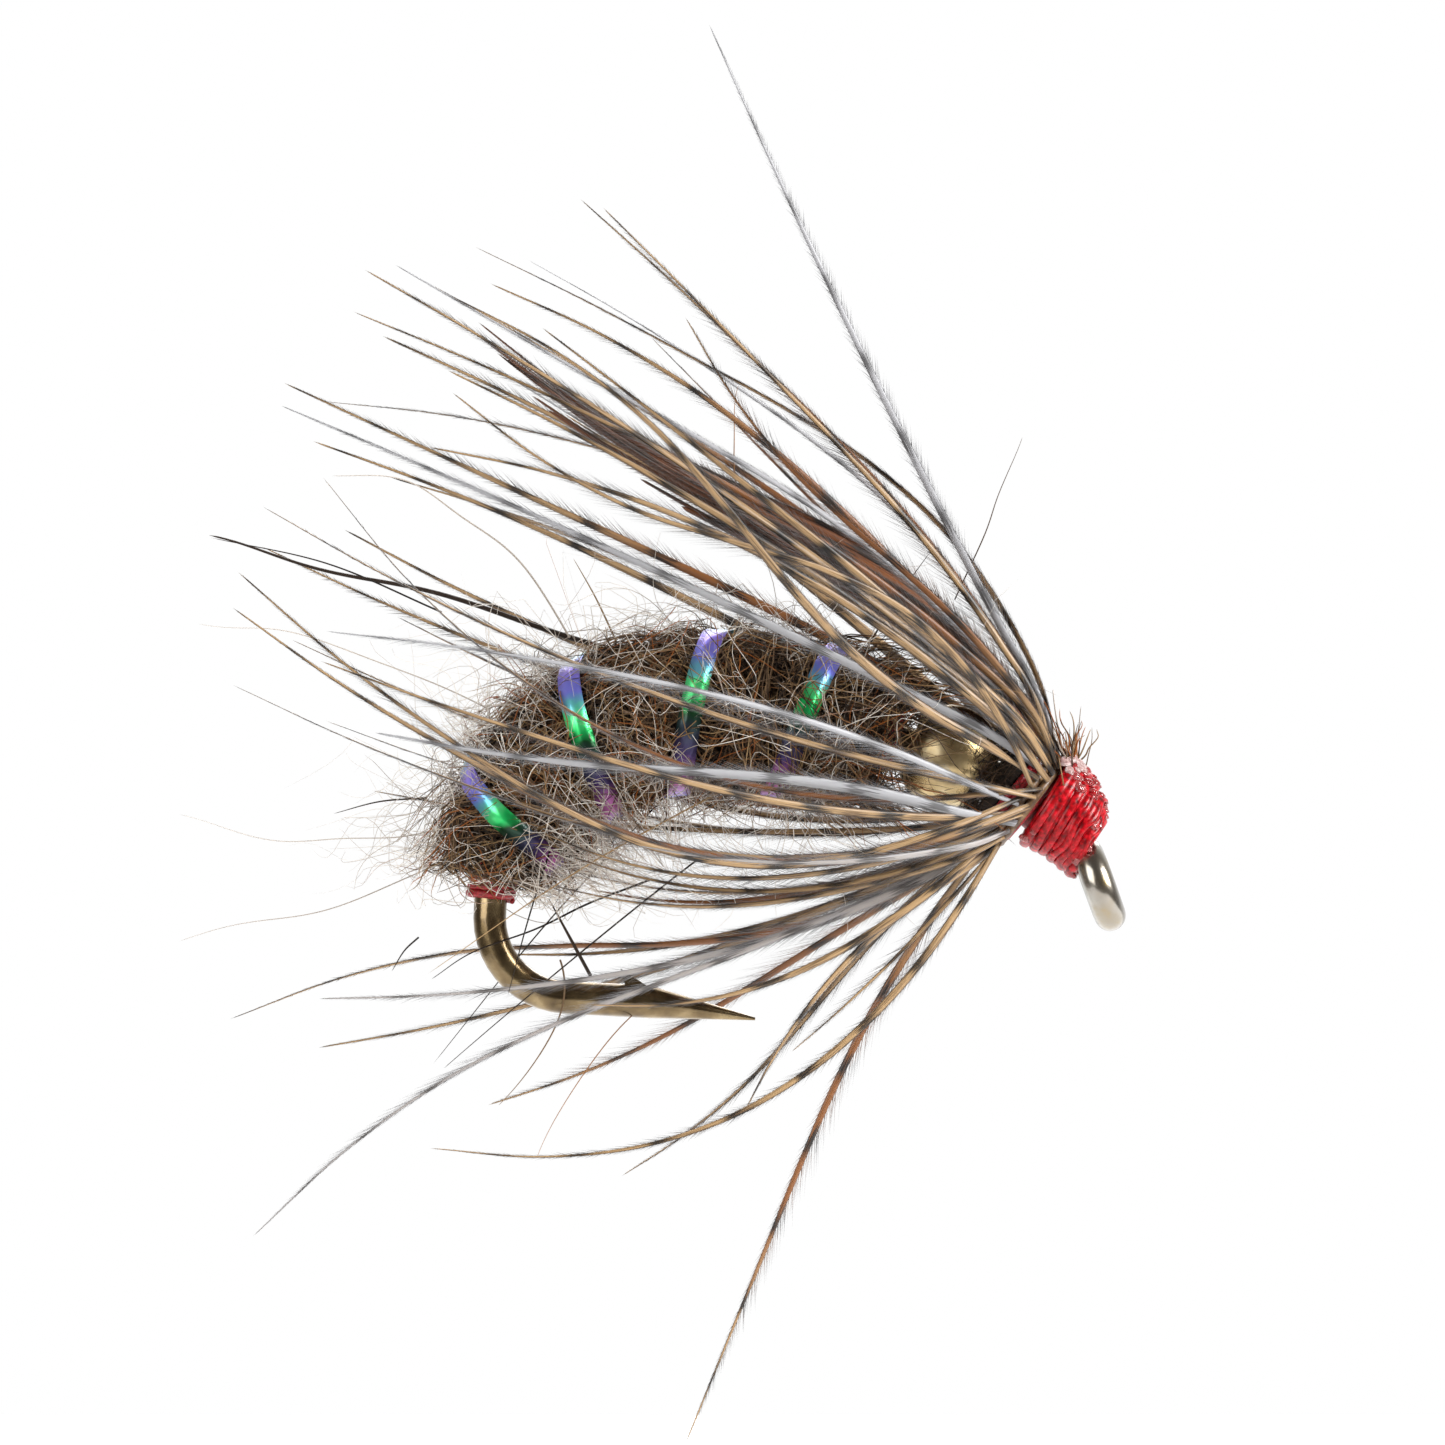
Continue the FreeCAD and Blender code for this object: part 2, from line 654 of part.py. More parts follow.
def turns_sketch(body, inner, outer):
    """Half the section of thread turns side by side: a flat inside and one round bump for each
    turn. outer holds an expression of each turn's radius, from the rear forward."""
    sketch = new_sketch(body, "turns")
    corners = []
    for row, radius in enumerate(outer):
        corners.append((radius, f"{row} * Sizes.thread_dia", "bump"))
        if row + 1 == len(outer) or outer[row + 1] != radius:
            corners.append((radius, f"{row + 1} * Sizes.thread_dia", "step"))
    corners += [(inner, f"{len(outer)} * Sizes.thread_dia", "inside"), (inner, "0", "step")]
    places = [vector(value_of(across), value_of(along), 0) for across, along, _ in corners]
    for row, (first, last) in enumerate(zip(places, places[1:] + places[:1])):
        if corners[row][2] == "bump":
            middle = (first + last) * 0.5 + vector(thread_bump(), 0, 0)
            sketch.addGeometry(Part.Arc(first, middle, last), False)
        else:
            segment(sketch, first, last)
    join(sketch, list(range(len(corners))))
    for edge, (across, along, kind) in enumerate(corners):
        hold(sketch, edge, across, along)
        if kind == "bump":
            bind(sketch, "Radius", edge, to=f"{BUMP} * Sizes.thread_dia")
    doc.recompute()
    return sketch


def wound_band(wire, label, first, outer):
    """Turns of thread round the wire, from a station towards the tail. On a bent stretch the
    hole is wider by how far the wire's line strays from the band's own straight axis."""
    half = len(outer) * size("thread_dia") / 2
    inner = f"{LAYER} + Sizes.thread_slack"
    arc = wire.arc_at(first + half)
    if arc:
        inner += f" + ({len(outer)} * Sizes.thread_dia)^2 / (8 * Sizes.{arc})"
    body = new_body(label)
    turn(body, turns_sketch(body, inner, outer))
    point, forward, _ = wire.station(first + half)
    body.Placement = facing(point - forward * half, forward)


def make_base(wire, label, first, last):
    """A single smooth layer of thread on the wire between two stations."""
    outside = wire.tube(first, last, layer_radius())
    add_shape(label, outside.cut(wire.tube(first, last, size("wire_dia") / 2)))


def head_radii():
    """The thread head's radius at each turn, from the hackle to the eye: an easing cone."""
    shrink = "(Sizes.head_back_dia - Sizes.head_front_dia) / 2"
    turns, rows = turns_in("head_length"), []
    for row in range(turns):
        ease = 1 - math.cos(math.pi / 2 * (row + 0.5) / turns)
        rows.append(f"Sizes.head_back_dia / 2 - {shrink} * {ease:.3f}")
    return rows


def lean_sketch(sketch):
    """Moves a sketch on to the head's own axis. It stands above the wire at the back, where the
    head also binds the wing's butts, and leans in to meet the wire at the eye."""
    sketch.setExpression("AttachmentOffset.Base.x", "-1 * Sizes.head_lift")
    behind = "-1 * Sizes.head_back_dia / 2 * sin(Sizes.head_tilt * 1 deg)"
    sketch.setExpression("AttachmentOffset.Base.y", behind)
    sketch.setExpression("AttachmentOffset.Rotation.Angle", "-1 * Sizes.head_tilt")
    doc.recompute()
    return sketch


def varnish_sketch(body):
    """Half the section of the varnished head: straight sides just outside every turn."""
    sketch = new_sketch(body, "coat")
    radii = head_radii()
    outline = [("0", "0"), (f"{radii[0]} + Sizes.varnish_depth", "0")]
    for row, radius in enumerate(radii, start=1):
        outline.append((f"{radius} + Sizes.varnish_depth", f"{row} * Sizes.thread_dia"))
    outline.append(("0", f"{turns_in('head_length')} * Sizes.thread_dia"))
    closed_outline(sketch, outline)
    doc.recompute()
    return sketch


def trim_head(body):
    """One turned cut makes the wire's way through the head and squares the head's back face."""
    sketch = new_sketch(body, "bore_and_back")
    bore, ahead = f"{LAYER} + Sizes.thread_slack", f"2 * {turns_in('head_length')} * Sizes.thread_dia"
    wide, behind = "2 * Sizes.head_back_dia", "-1 * Sizes.head_back_dia"
    closed_outline(sketch, [
        ("0", behind), (wide, behind), (wide, "0"), (bore, "0"), (bore, ahead), ("0", ahead),
    ])
    doc.recompute()
    turn(body, sketch, kind="PartDesign::Groove")


def make_head(wire):
    """The thread head, and the clear varnish that fills and covers its turns."""
    head = new_body("head_thread")
    turn(head, lean_sketch(turns_sketch(head, "0", head_radii())))
    blank = doc.addObject("PartDesign::Body", "varnish_blank")
    turn(blank, lean_sketch(varnish_sketch(blank)))
    point, forward, _ = wire.station(head_end())
    for body in (head, blank):
        trim_head(body)
        body.Placement = facing(point, forward)
    shell = keep(doc.addObject("Part::Cut", "head_varnish"), "head_varnish")
    shell.Base, shell.Tool = blank, head
    doc.recompute()


def make_thread(wire):
    """The thread in the order it goes on: the layer on the wire, the dam behind the bead, the
    tag at the bend and the binding under the hackle."""
    make_base(wire, "thread_base_rear", dam_start(), tag_end())
    wound_band(wire, "thread_dam", dam_start(), [f"{LAYER} + Sizes.dam_height"] * DAM_TURNS)
    tag = [f"{LAYER} + Sizes.tag_height"] * TAG_TURNS
    wound_band(wire, "tag_wraps", abdomen_end(), tag)
    make_base(wire, "thread_base_front", size("head_at"), size("bead_at") - size("bead_dia") / 2)
    binding = ["Sizes.binding_dia / 2"] * turns_in("binding_length")
    wound_band(wire, "wing_binding", head_end(), binding)


# Fur and tinsel


def fur_sleeve(wire, label, first, last, radius_at, count):
    """Fur spun on thread: a smooth sleeve of changing radius, hollow where the thread runs."""
    rings = []
    for row in range(count):
        s = first + (last - first) * row / (count - 1)
        point, forward, _ = wire.station(s)
        rings.append(Part.Wire([Part.Circle(point, forward, radius_at(s)).toShape()]))
    sleeve = Part.makeLoft(rings, True, False)
    clear = layer_radius() + size("thread_slack")
    add_shape(label, sleeve.cut(wire.tube(first - clear / 2, last + clear / 2, clear)))


def abdomen_radius(s):
    """Full over the back and drawn in towards the tag."""
    share = max((s - thorax_end()) / size("abdomen_length"), 0.0)
    full, rear = size("abdomen_dia") / 2, size("abdomen_rear_dia") / 2
    return rear + (full - rear) * math.sqrt(max(1 - share**3.2, 0.0))


def thorax_radius(s):
    """Swells from its own size behind the bead to the abdomen's."""
    share = (s - dam_end()) / size("thorax_length")
    front, rear = size("thorax_dia") / 2, size("abdomen_dia") / 2
    return front + (rear - front) * math.sin(math.pi / 2 * min(max(share, 0.0), 1.0))


def fur_radius(s):
    return abdomen_radius(s) if s > thorax_end() else thorax_radius(s)


def collar_radius(s):
    """The short collar of fur in front of the bead, domed over its length."""
    bore_face = math.sqrt((size("bead_dia") / 2) ** 2 - (size("bead_bore_dia") / 2) ** 2)
    room = size("bead_at") - bore_face - binding_end()
    share = min(max((s - binding_end()) / room, 0.0), 1.0)
    return size("collar_dia") / 2 * (1 - 0.25 * share**2)


def tag_lean(wire):
    """How far the rim of the tag's straight front face leans over the fur on a bent wire."""
    half = TAG_TURNS * size("thread_dia") / 2
    arc = wire.arc_at(abdomen_end() + half)
    rim = layer_radius() + size("tag_height") + thread_bump()
    return rim * half / size(arc) if arc else 0.0


def make_fur(wire):
    gap = size("fur_gap")
    rear = abdomen_end() - max(gap, tag_lean(wire))
    fur_sleeve(wire, "abdomen_dubbing", thorax_end() + gap, rear, abdomen_radius, 9)
    fur_sleeve(wire, "thorax_dubbing", dam_end() + gap, thorax_end() - gap, thorax_radius, 5)
    front_of_bead = size("bead_at") - size("bead_dia") / 2
    fur_sleeve(wire, "collar_dubbing", binding_end() + gap, front_of_bead, collar_radius, 3)


def make_tinsel(wire):
    """Flat tinsel wound over the fur from the tag to the bead, lying flat on the surface."""
    first = abdomen_end() - 0.75 * size("tinsel_width")
    last = dam_end() + size("tinsel_width")
    turns = (first - last) / size("tinsel_pitch")
    steps = int(turns * TINSEL_STEPS)
    span = size("tinsel_width") / 2
    middles, normals = [], []
    for step in range(steps + 1):
        s = first + (last - first) * step / steps
        point, forward, outward = wire.station(s)
        angle = math.radians(size("tinsel_start")) + 2 * math.pi * turns * step / steps
        radial = outward * math.cos(angle) + ACROSS * math.sin(angle)
        slope = (fur_radius(s + span) - fur_radius(s - span)) / (2 * span)
        middles.append(point + radial * (fur_radius(s) + size("fur_gap")))
        normals.append((radial + forward * slope).normalize())
    sections = []
    for row, (middle, normal) in enumerate(zip(middles, normals)):
        ahead = middles[min(row + 1, steps)] - middles[max(row - 1, 0)]
        wide = ahead.cross(normal).normalize() * span
        thick = normal * size("tinsel_depth")
        ring = [middle - wide, middle + wide, middle + wide + thick, middle - wide + thick]
        sections.append(Part.makePolygon(ring + ring[:1]))
    add_shape("rib_tinsel", Part.makeLoft(sections, True, True))


# Feather and hair


def spike(points, widths, depths):
    """A thin fibre with a lozenge section, wide in the plane of the bend."""
    sections = []
    for row, point in enumerate(points):
        along = points[min(row + 1, len(points) - 1)] - points[max(row - 1, 0)]
        wide = ACROSS.cross(along).normalize()
        deep = along.cross(wide).normalize()
        wide, deep = wide * widths[row] / 2, deep * depths[row] / 2
        ring = [point - wide, point - deep, point + wide, point + deep]
        sections.append(Part.makePolygon(ring + ring[:1]))
    return Part.makeLoft(sections, True, True)


def fibre_line(wire, station, ring, clock, row, origin):
    """The middle line of a feather fibre. It leaves its ring squarely at a clock angle, turns
    back within its standoff, and runs to its tip with a bow and an S in the plane of the bend,
    while it swings out to its side in the first half of its length."""
    back, up, out, bow, bend, _ = row
    middle, _, outward = wire.station(station)
    side = outward * math.cos(clock) + ACROSS * math.sin(clock)
    root, tip = middle + side * ring, origin + vector(-back, out, up)
    start = root + side * size("fibre_standoff")
    flat = vector(tip.x - start.x, 0, tip.z - start.z)
    normal = vector(flat.z, 0, -flat.x).normalize()
    points = [root]
    for step in range(1, FIBRE_STATIONS):
        t = (step / (FIBRE_STATIONS - 1)) ** FIBRE_CROWDING
        place = start + flat * t
        place += normal * (bow * 4 * t * (1 - t) + bend * math.sin(2 * math.pi * t))
        place.y = start.y + (tip.y - start.y) * (1 - (1 - t) ** 2)
        points.append(place)
    return points


def fibre(points, width):
    """A feather fibre: narrow at its root, widest in its first third, drawn out to its tip."""
    root = size("fibre_root_share")
    widths = []
    for step in range(len(points)):
        t = step / (len(points) - 1)
        swell = root + (1 - root) * math.sin(math.pi / 2 * min(t * 4, 1.0))
        widths.append(width * max(swell * (1 - t**2.5), 0.15))
    return spike(points, widths, [w * size("fibre_depth_share") for w in widths])


def make_hackle(wire):
    """The hackle's fibres leave the stem's turns at even steps, in the order of their tips round
    the hook. Each group of fibres is a node, and each fibre a solid."""
    order = []
    for label, rows in HACKLE:
        order += [(math.atan2(row[2], row[1] / 2), label, row) for row in rows]
    order.sort(key=lambda entry: entry[0])
    ring = stem_ring_radius() + size("stem_dia") / 2 + size("fur_gap")
    origin = wire.station(head_end() + size("stem_dia"))[0]
    solids = {label: [] for label, _ in HACKLE}
    for place, (_, label, row) in enumerate(order):
        share = (place + 0.5) / len(order)
        station = head_end() + size("stem_dia") * (share + 0.5 + place % STEM_TURNS)
        points = fibre_line(wire, station, ring, 2 * math.pi * share - math.pi, row, origin)
        solids[label].append(fibre(points, row[5]))
    for label, group in solids.items():
        add_shape(label, Part.makeCompound(group))


def make_wing(wire):
    """The wing's fibres lie over the top of the binding's last turns."""
    ring = max(size("binding_dia") / 2 + thread_bump(), size("collar_dia") / 2) + size("fur_gap")
    station = binding_end() + size("fur_gap")
    origin = wire.station(station)[0]
    solids = []
    rows = sorted(WING, key=lambda row: row[2])
    for place, row in enumerate(rows):
        share = (place + 0.5) / len(rows) - 0.5
        clock = math.radians(size("wing_spread")) * share
        solids.append(fibre(fibre_line(wire, station, ring, clock, row, origin), row[5]))
    add_shape("wing_fibres", Part.makeCompound(solids))


def make_stem(wire):
    """The hackle feather's stem, wound round the binding behind the head."""
    pitch = size("stem_dia")
    helix = Part.makeHelix(pitch, pitch * STEM_TURNS, stem_ring_radius())
    start = helix.Vertexes[0].Point
    circle = Part.Circle(start, ACROSS, pitch / 2 - size("thread_slack"))
    solid = Part.Wire(helix.Edges).makePipeShell([Part.Wire([circle.toShape()])], True, True)
    point, forward, _ = wire.station(stem_end() - pitch / 2)
    add_shape("hackle_stem", solid, facing(point, forward))


def make_butts(wire):
    """The wing's trimmed butts, a short tuft that stands out of the top of the head."""
    point, forward, outward = wire.station(head_end())
    root = point + outward * (size("head_lift") + size("head_back_dia") / 2 + size("varnish_depth"))
    tilt = math.radians(size("head_tilt"))
    along = forward * math.cos(tilt) - outward * math.sin(tilt)
    solids = []
    for row, (ahead, up, out) in enumerate(BUTTS):
        base = root + along * (size("butt_dia") * (row + 1)) + ACROSS * out
        tip = base + vector(ahead, out * 0.6, up)
        thick = [size("butt_dia"), size("butt_dia") * 0.6]
        solids.append(spike([base, tip], thick, thick))
    add_shape("wing_butts", Part.makeCompound(solids))


def make_guard_hairs(wire):
    """Long stiff hairs of the fur, each its own solid, standing out of the dubbing."""
    solids = []
    for s, back, up, out in GUARD_HAIRS:
        point, _, outward = wire.station(s)
        run = vector(-back, out, up)
        climb = math.hypot(out, run.dot(outward)) / run.Length
        clear = fur_radius(s) + size("tinsel_depth") + 3 * size("fur_gap")
        root = point + run * min(clear / (climb * run.Length), 0.8)
        tip = point + run
        middle = (root + tip) * 0.5 + vector(0, 0, 0.02 * run.Length)
        wide = size("hair_dia")
        solids.append(spike([root, middle, tip], [wide, wide, wide / 3], [wide, wide, wide / 3]))
    add_shape("guard_hairs", Part.makeCompound(solids))


def check_and_write():
    """Stops on any failed object or bad shape, then writes each sub-part to its own file."""
    doc.recompute()
    for thing in doc.Objects:
        if {"Invalid", "Error"} & set(thing.State):
            raise ValueError(f"{thing.Label} failed: {thing.State}")
    for part in parts:
        shape = part.Shape
        if shape.isNull() or not shape.isValid() or not shape.Solids:
            raise ValueError(f"{part.Label} has no valid solid")
    os.makedirs("parts", exist_ok=True)
    for part in parts:
        part.Shape.exportStep(os.path.join("parts", f"{part.Label}.step"))
        print(f"{part.Label}: {len(part.Shape.Solids)} solids, {part.Shape.Volume:.3f} mm3")


fill_sheet()
wire = Wire()
make_hook(wire)
make_bead(wire)
make_thread(wire)
make_fur(wire)
make_tinsel(wire)
make_wing(wire)
make_stem(wire)
make_hackle(wire)
make_head(wire)
make_butts(wire)
make_guard_hairs(wire)
check_and_write()
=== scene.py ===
import bpy
import numpy as np
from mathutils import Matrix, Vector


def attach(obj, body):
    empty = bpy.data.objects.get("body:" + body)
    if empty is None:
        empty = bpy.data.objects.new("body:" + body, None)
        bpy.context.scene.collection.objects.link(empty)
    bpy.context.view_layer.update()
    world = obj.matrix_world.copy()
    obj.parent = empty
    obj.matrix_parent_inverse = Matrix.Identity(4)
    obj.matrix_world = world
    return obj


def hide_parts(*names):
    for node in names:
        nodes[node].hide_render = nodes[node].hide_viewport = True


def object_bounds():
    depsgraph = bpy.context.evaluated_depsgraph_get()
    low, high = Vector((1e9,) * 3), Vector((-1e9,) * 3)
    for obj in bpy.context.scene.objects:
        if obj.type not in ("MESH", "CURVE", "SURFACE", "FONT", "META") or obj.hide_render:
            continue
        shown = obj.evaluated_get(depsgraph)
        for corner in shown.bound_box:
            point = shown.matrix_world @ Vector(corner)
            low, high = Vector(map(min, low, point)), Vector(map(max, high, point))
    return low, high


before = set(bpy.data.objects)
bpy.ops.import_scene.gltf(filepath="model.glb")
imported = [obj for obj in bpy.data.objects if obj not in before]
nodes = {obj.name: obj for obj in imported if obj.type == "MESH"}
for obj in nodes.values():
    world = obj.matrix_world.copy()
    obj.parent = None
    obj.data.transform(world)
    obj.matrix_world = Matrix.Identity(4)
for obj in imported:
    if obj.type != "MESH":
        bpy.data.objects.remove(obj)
cad_low, cad_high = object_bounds()
MM = 0.001

# ---------------------------------------------------------------------------------------------
# Hook. High-carbon steel wire, bent, forged and tempered, then lacquered a warm bronze. The eye
# is the wire's own end closed into a ring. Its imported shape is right, so only the finish is made.


def linear(code):
    """An sRGB hex colour as linear RGBA: c/12.92 below 0.04045, else ((c+0.055)/1.055)^2.4."""
    c = np.array([int(code[i:i + 2], 16) for i in (1, 3, 5)]) / 255
    c = np.where(c <= 0.04045, c / 12.92, ((c + 0.055) / 1.055) ** 2.4)
    return (*c.tolist(), 1.0)


def add(tree, kind, links=(), **settings):
    """Adds a node. A setting is a node property, or a socket value where no property has that
    name (spaces as underscores). Each link is (input, node or socket it comes from)."""
    node = tree.nodes.new(kind)
    for name, value in settings.items():
        if hasattr(node, name):
            setattr(node, name, value)
        else:
            node.inputs[name.replace("_", " ")].default_value = value
    for socket, source in links:
        source = source.outputs[0] if isinstance(source, bpy.types.Node) else source
        tree.links.new(source, node.inputs[socket])
    return node


def new_material(name):
    """An empty node material: its tree and its Principled shader."""
    material = bpy.data.materials.new(name)
    material.use_nodes = True
    return material, material.node_tree, material.node_tree.nodes["Principled BSDF"]


def ramp(tree, source, stops, mode="LINEAR"):
    """A Color Ramp fed by a socket. stops are (position, hex colour)."""
    node = add(tree, "ShaderNodeValToRGB", [("Fac", source)])
    node.color_ramp.interpolation = mode
    while len(node.color_ramp.elements) < len(stops):
        node.color_ramp.elements.new(0.5)
    for element, (place, code) in zip(node.color_ramp.elements, sorted(stops)):
        element.position, element.color = place, linear(code)
    return node


def dress(name, material):
    """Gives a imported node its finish."""
    slots = nodes[name].data.materials
    slots.clear()
    slots.append(material)


# lacquered steel: bronze film over metal, with drawing lines along the wire and slight mottling
wire_lacquer, tree, shader = new_material("bronzed lacquered steel wire")
place = add(tree, "ShaderNodeTexCoord").outputs["Object"]
mottle = add(tree, "ShaderNodeTexNoise", [("Vector", place)], Scale=2400.0, Detail=4.0)
film = ramp(tree, mottle.outputs["Fac"], [(0.30, "#54452F"), (0.52, "#7D6A4B"), (0.72, "#A3906C")])
bare = ramp(tree, mottle.outputs["Fac"], [(0.40, "#C4C2BC"), (0.58, "#A9A69E"), (0.68, "#9C8450")])
from_eye = add(tree, "ShaderNodeVectorMath", [(0, place)], operation="LENGTH")
worn = add(tree, "ShaderNodeMapRange", [("Value", from_eye.outputs["Value"])], From_Min=0.0010, From_Max=0.0006)
finish = add(tree, "ShaderNodeMix", [(0, worn), (6, film), (7, bare)], data_type="RGBA")
tree.links.new(finish.outputs[2], shader.inputs["Base Color"])
shader.inputs["Metallic"].default_value = 1.0
wear = add(tree, "ShaderNodeMapRange", [("Value", mottle.outputs["Fac"])], To_Min=0.16, To_Max=0.32)
tree.links.new(wear.outputs["Result"], shader.inputs["Roughness"])
grain = add(tree, "ShaderNodeTexNoise", [("Vector", place)], Scale=22000.0, Detail=2.0)
bump = add(tree, "ShaderNodeBump", [("Height", grain)], Strength=0.12, Distance=0.00001)
tree.links.new(bump.outputs["Normal"], shader.inputs["Normal"])
shader.inputs["Coat Weight"].default_value = 0.4
shader.inputs["Coat Roughness"].default_value = 0.08
dress("hook", wire_lacquer)


# ---------------------------------------------------------------------------------------------
# Bead. Turned brass ball, drilled through and tumble-polished, slid on over the point and held
# between the fur collar and the thread dam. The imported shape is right.
turned_brass, tree, shader = new_material("polished turned brass")
place = add(tree, "ShaderNodeTexCoord").outputs["Object"]
tarnish = add(tree, "ShaderNodeTexNoise", [("Vector", place)], Scale=1700.0, Detail=5.0)
shade = ramp(tree, tarnish.outputs["Fac"], [(0.35, "#A98F62"), (0.55, "#D2BB8E"), (0.75, "#EBDCB8")])
tree.links.new(shade.outputs["Color"], shader.inputs["Base Color"])
shader.inputs["Metallic"].default_value = 1.0
polish = add(tree, "ShaderNodeMapRange", [("Value", tarnish.outputs["Fac"])], To_Min=0.20, To_Max=0.36)
tree.links.new(polish.outputs["Result"], shader.inputs["Roughness"])
dress("bead", turned_brass)


# ---------------------------------------------------------------------------------------------
# Thread under everything. Waxed red tying thread, 0.07 mm flat, wound in a single layer over the
# wire, dammed up behind the bead and bound over the wing. Only glimpses of it show.
WIRE_START = np.array([-0.5500 * np.cos(np.radians(70)), 0.5500 * np.sin(np.radians(70))])
WIRE_HEADING = np.radians(140)
WIRE_RUNS = ((0, 1.72), (2.5, 18), (12.5, 22), (3.5, 90), (1.35, 87), (0, 3.25))
ACROSS = np.array([0.0, 1.0, 0.0])


def wire_at(station):
    """The wire's middle at distances from the eye, in mm, with the unit vectors towards the tail
    and out of the bend. Straight runs add length along the heading h. An arc of radius R turns
    h and adds R (sin h1 - sin h0, cos h0 - cos h1)."""
    station = np.asarray(station, float)
    x, z = (np.full(station.shape, v) for v in WIRE_START)
    heading = np.full(station.shape, WIRE_HEADING)
    left = station.copy()
    for number, (radius, amount) in enumerate(WIRE_RUNS):
        length = amount if radius == 0 else radius * np.radians(amount)
        last = number == len(WIRE_RUNS) - 1
        step = np.maximum(left, 0) if last else np.clip(left, 0, length)
        step = np.where((left < 0) & (number == 0), left, step)
        if radius == 0:
            x, z = x + step * np.cos(heading), z + step * np.sin(heading)
        else:
            turned = heading + step / radius
            x = x + radius * (np.sin(turned) - np.sin(heading))
            z = z + radius * (np.cos(heading) - np.cos(turned))
            heading = turned
        left = left - length
    zero = np.zeros_like(x)
    middle = np.stack([x, zero, z], -1)
    back = np.stack([np.cos(heading), zero, np.sin(heading)], -1)
    out = np.stack([np.sin(heading), zero, -np.cos(heading)], -1)
    return middle, back, out


def round_wire(station, clock, radius):
    """Points round the wire: middle + radius (out cos c + across sin c), in mm."""
    middle, _, out = wire_at(station)
    clock, radius = np.asarray(clock)[..., None], np.asarray(radius)[..., None]
    return middle + radius * (out * np.cos(clock) + ACROSS * np.sin(clock))


# waxed polyester thread: fine lengthwise filaments with painted shade darkening the red where their bump dips, and a
# soft gloss from the wax
waxed_thread, tree, shader = new_material("waxed red polyester thread")
place = add(tree, "ShaderNodeTexCoord").outputs["Object"]
fibre_lines = add(tree, "ShaderNodeTexNoise", [("Vector", place)], Scale=26000.0, Detail=2.0)
# painted shade: the red darkens where the filament bump dips; the rest of its spread is the dye's own variation
dye_and_filament_shade = ramp(tree, fibre_lines.outputs["Fac"], [(0.30, "#5E0A10"), (0.52, "#96131B"), (0.75, "#C42A30")])
tree.links.new(dye_and_filament_shade.outputs["Color"], shader.inputs["Base Color"])
shader.inputs["Roughness"].default_value = 0.42
bump = add(tree, "ShaderNodeBump", [("Height", fibre_lines)], Strength=0.5, Distance=0.00002)
tree.links.new(bump.outputs["Normal"], shader.inputs["Normal"])
for name in ("thread_base_front", "thread_base_rear", "thread_dam", "wing_binding"):
    dress(name, waxed_thread)


# ---------------------------------------------------------------------------------------------
# Tag. The last four turns of the same thread, left bare at the top of the bend. Each turn is a
# strand pressed into its neighbour.


def unit(v):
    """Vectors divided by their lengths."""
    return v / np.maximum(np.linalg.norm(v, axis=-1, keepdims=True), 1e-12)


def strands(lines, wide, deep, guide, sides=6, pointed=True):
    """Closed strands with elliptical sections. lines is (n, m, 3). At each station the ring is
    centre + wide cos(a) N + deep sin(a) B, where T is the unit central difference, N is guide
    made square to T and B = T x N. A pointed strand's last ring is one vertex. Gives vertices,
    triangles, each vertex's line, its station share and cos(a)."""
    n, m = lines.shape[:2]
    tangent = unit(np.gradient(lines, axis=1))
    normal = unit(guide - (guide * tangent).sum(-1, keepdims=True) * tangent)
    side = np.cross(tangent, normal)
    angle = np.arange(sides) * 2 * np.pi / sides
    rings = m - 1 if pointed else m
    ring = lines[:, :rings, None] + wide[:, :rings, None, None] * np.cos(angle)[:, None] * normal[:, :rings, None]
    ring = ring + deep[:, :rings, None, None] * np.sin(angle)[:, None] * side[:, :rings, None]
    points = ring.reshape(n, rings * sides, 3)
    if pointed:
        points = np.concatenate([points, lines[:, -1:]], 1)
    j, k = np.meshgrid(np.arange(rings - 1), np.arange(sides), indexing="ij")
    a, b = (j * sides + k).ravel(), (j * sides + (k + 1) % sides).ravel()
    faces = [np.stack([a, b, b + sides], 1), np.stack([a, b + sides, a + sides], 1)]
    fan = np.arange(1, sides - 1)
    faces.append(np.stack([fan * 0, fan + 1, fan], 1))
    top = (rings - 1) * sides
    if pointed:
        around = np.arange(sides)
        faces.append(np.stack([top + around, top + (around + 1) % sides, np.full(sides, rings * sides)], 1))
    else:
        faces.append(np.stack([top + fan * 0, top + fan, top + fan + 1], 1))
    faces = np.concatenate(faces)
    count = points.shape[1]
    triangles = (faces[None] + np.arange(n)[:, None, None] * count).reshape(-1, 3)
    share = np.repeat(np.arange(rings) / (m - 1), sides)
    across = np.tile(np.cos(angle), rings)
    if pointed:
        share, across = np.append(share, 1.0), np.append(across, 0.0)
    line = np.repeat(np.arange(n), count)
    return points.reshape(-1, 3), triangles, line, np.tile(share, n), np.tile(across, n)


def piece(name, points, triangles, material, uv=None, replaces=()):
    """Makes a smooth-shaded mesh object from points in mm, in its place, riding on the root."""
    mesh = bpy.data.meshes.new(name)
    mesh.vertices.add(len(points))
    mesh.vertices.foreach_set("co", (points * MM).astype(np.float32).ravel())
    mesh.loops.add(triangles.size)
    mesh.loops.foreach_set("vertex_index", triangles.astype(np.int32).ravel())
    mesh.polygons.add(len(triangles))
    mesh.polygons.foreach_set("loop_start", np.arange(0, triangles.size, 3, dtype=np.int32))
    mesh.polygons.foreach_set("use_smooth", np.ones(len(triangles), bool))
    if uv is not None:
        layer = mesh.uv_layers.new(name="OFBake")
        layer.data.foreach_set("uv", uv[triangles.ravel()].astype(np.float32).ravel())
    mesh.update(calc_edges=True)
    mesh.materials.append(material)
    thing = bpy.data.objects.new(name, mesh)
    bpy.context.scene.collection.objects.link(thing)
    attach(thing, "root")
    if replaces:
        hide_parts(*replaces)
    return thing


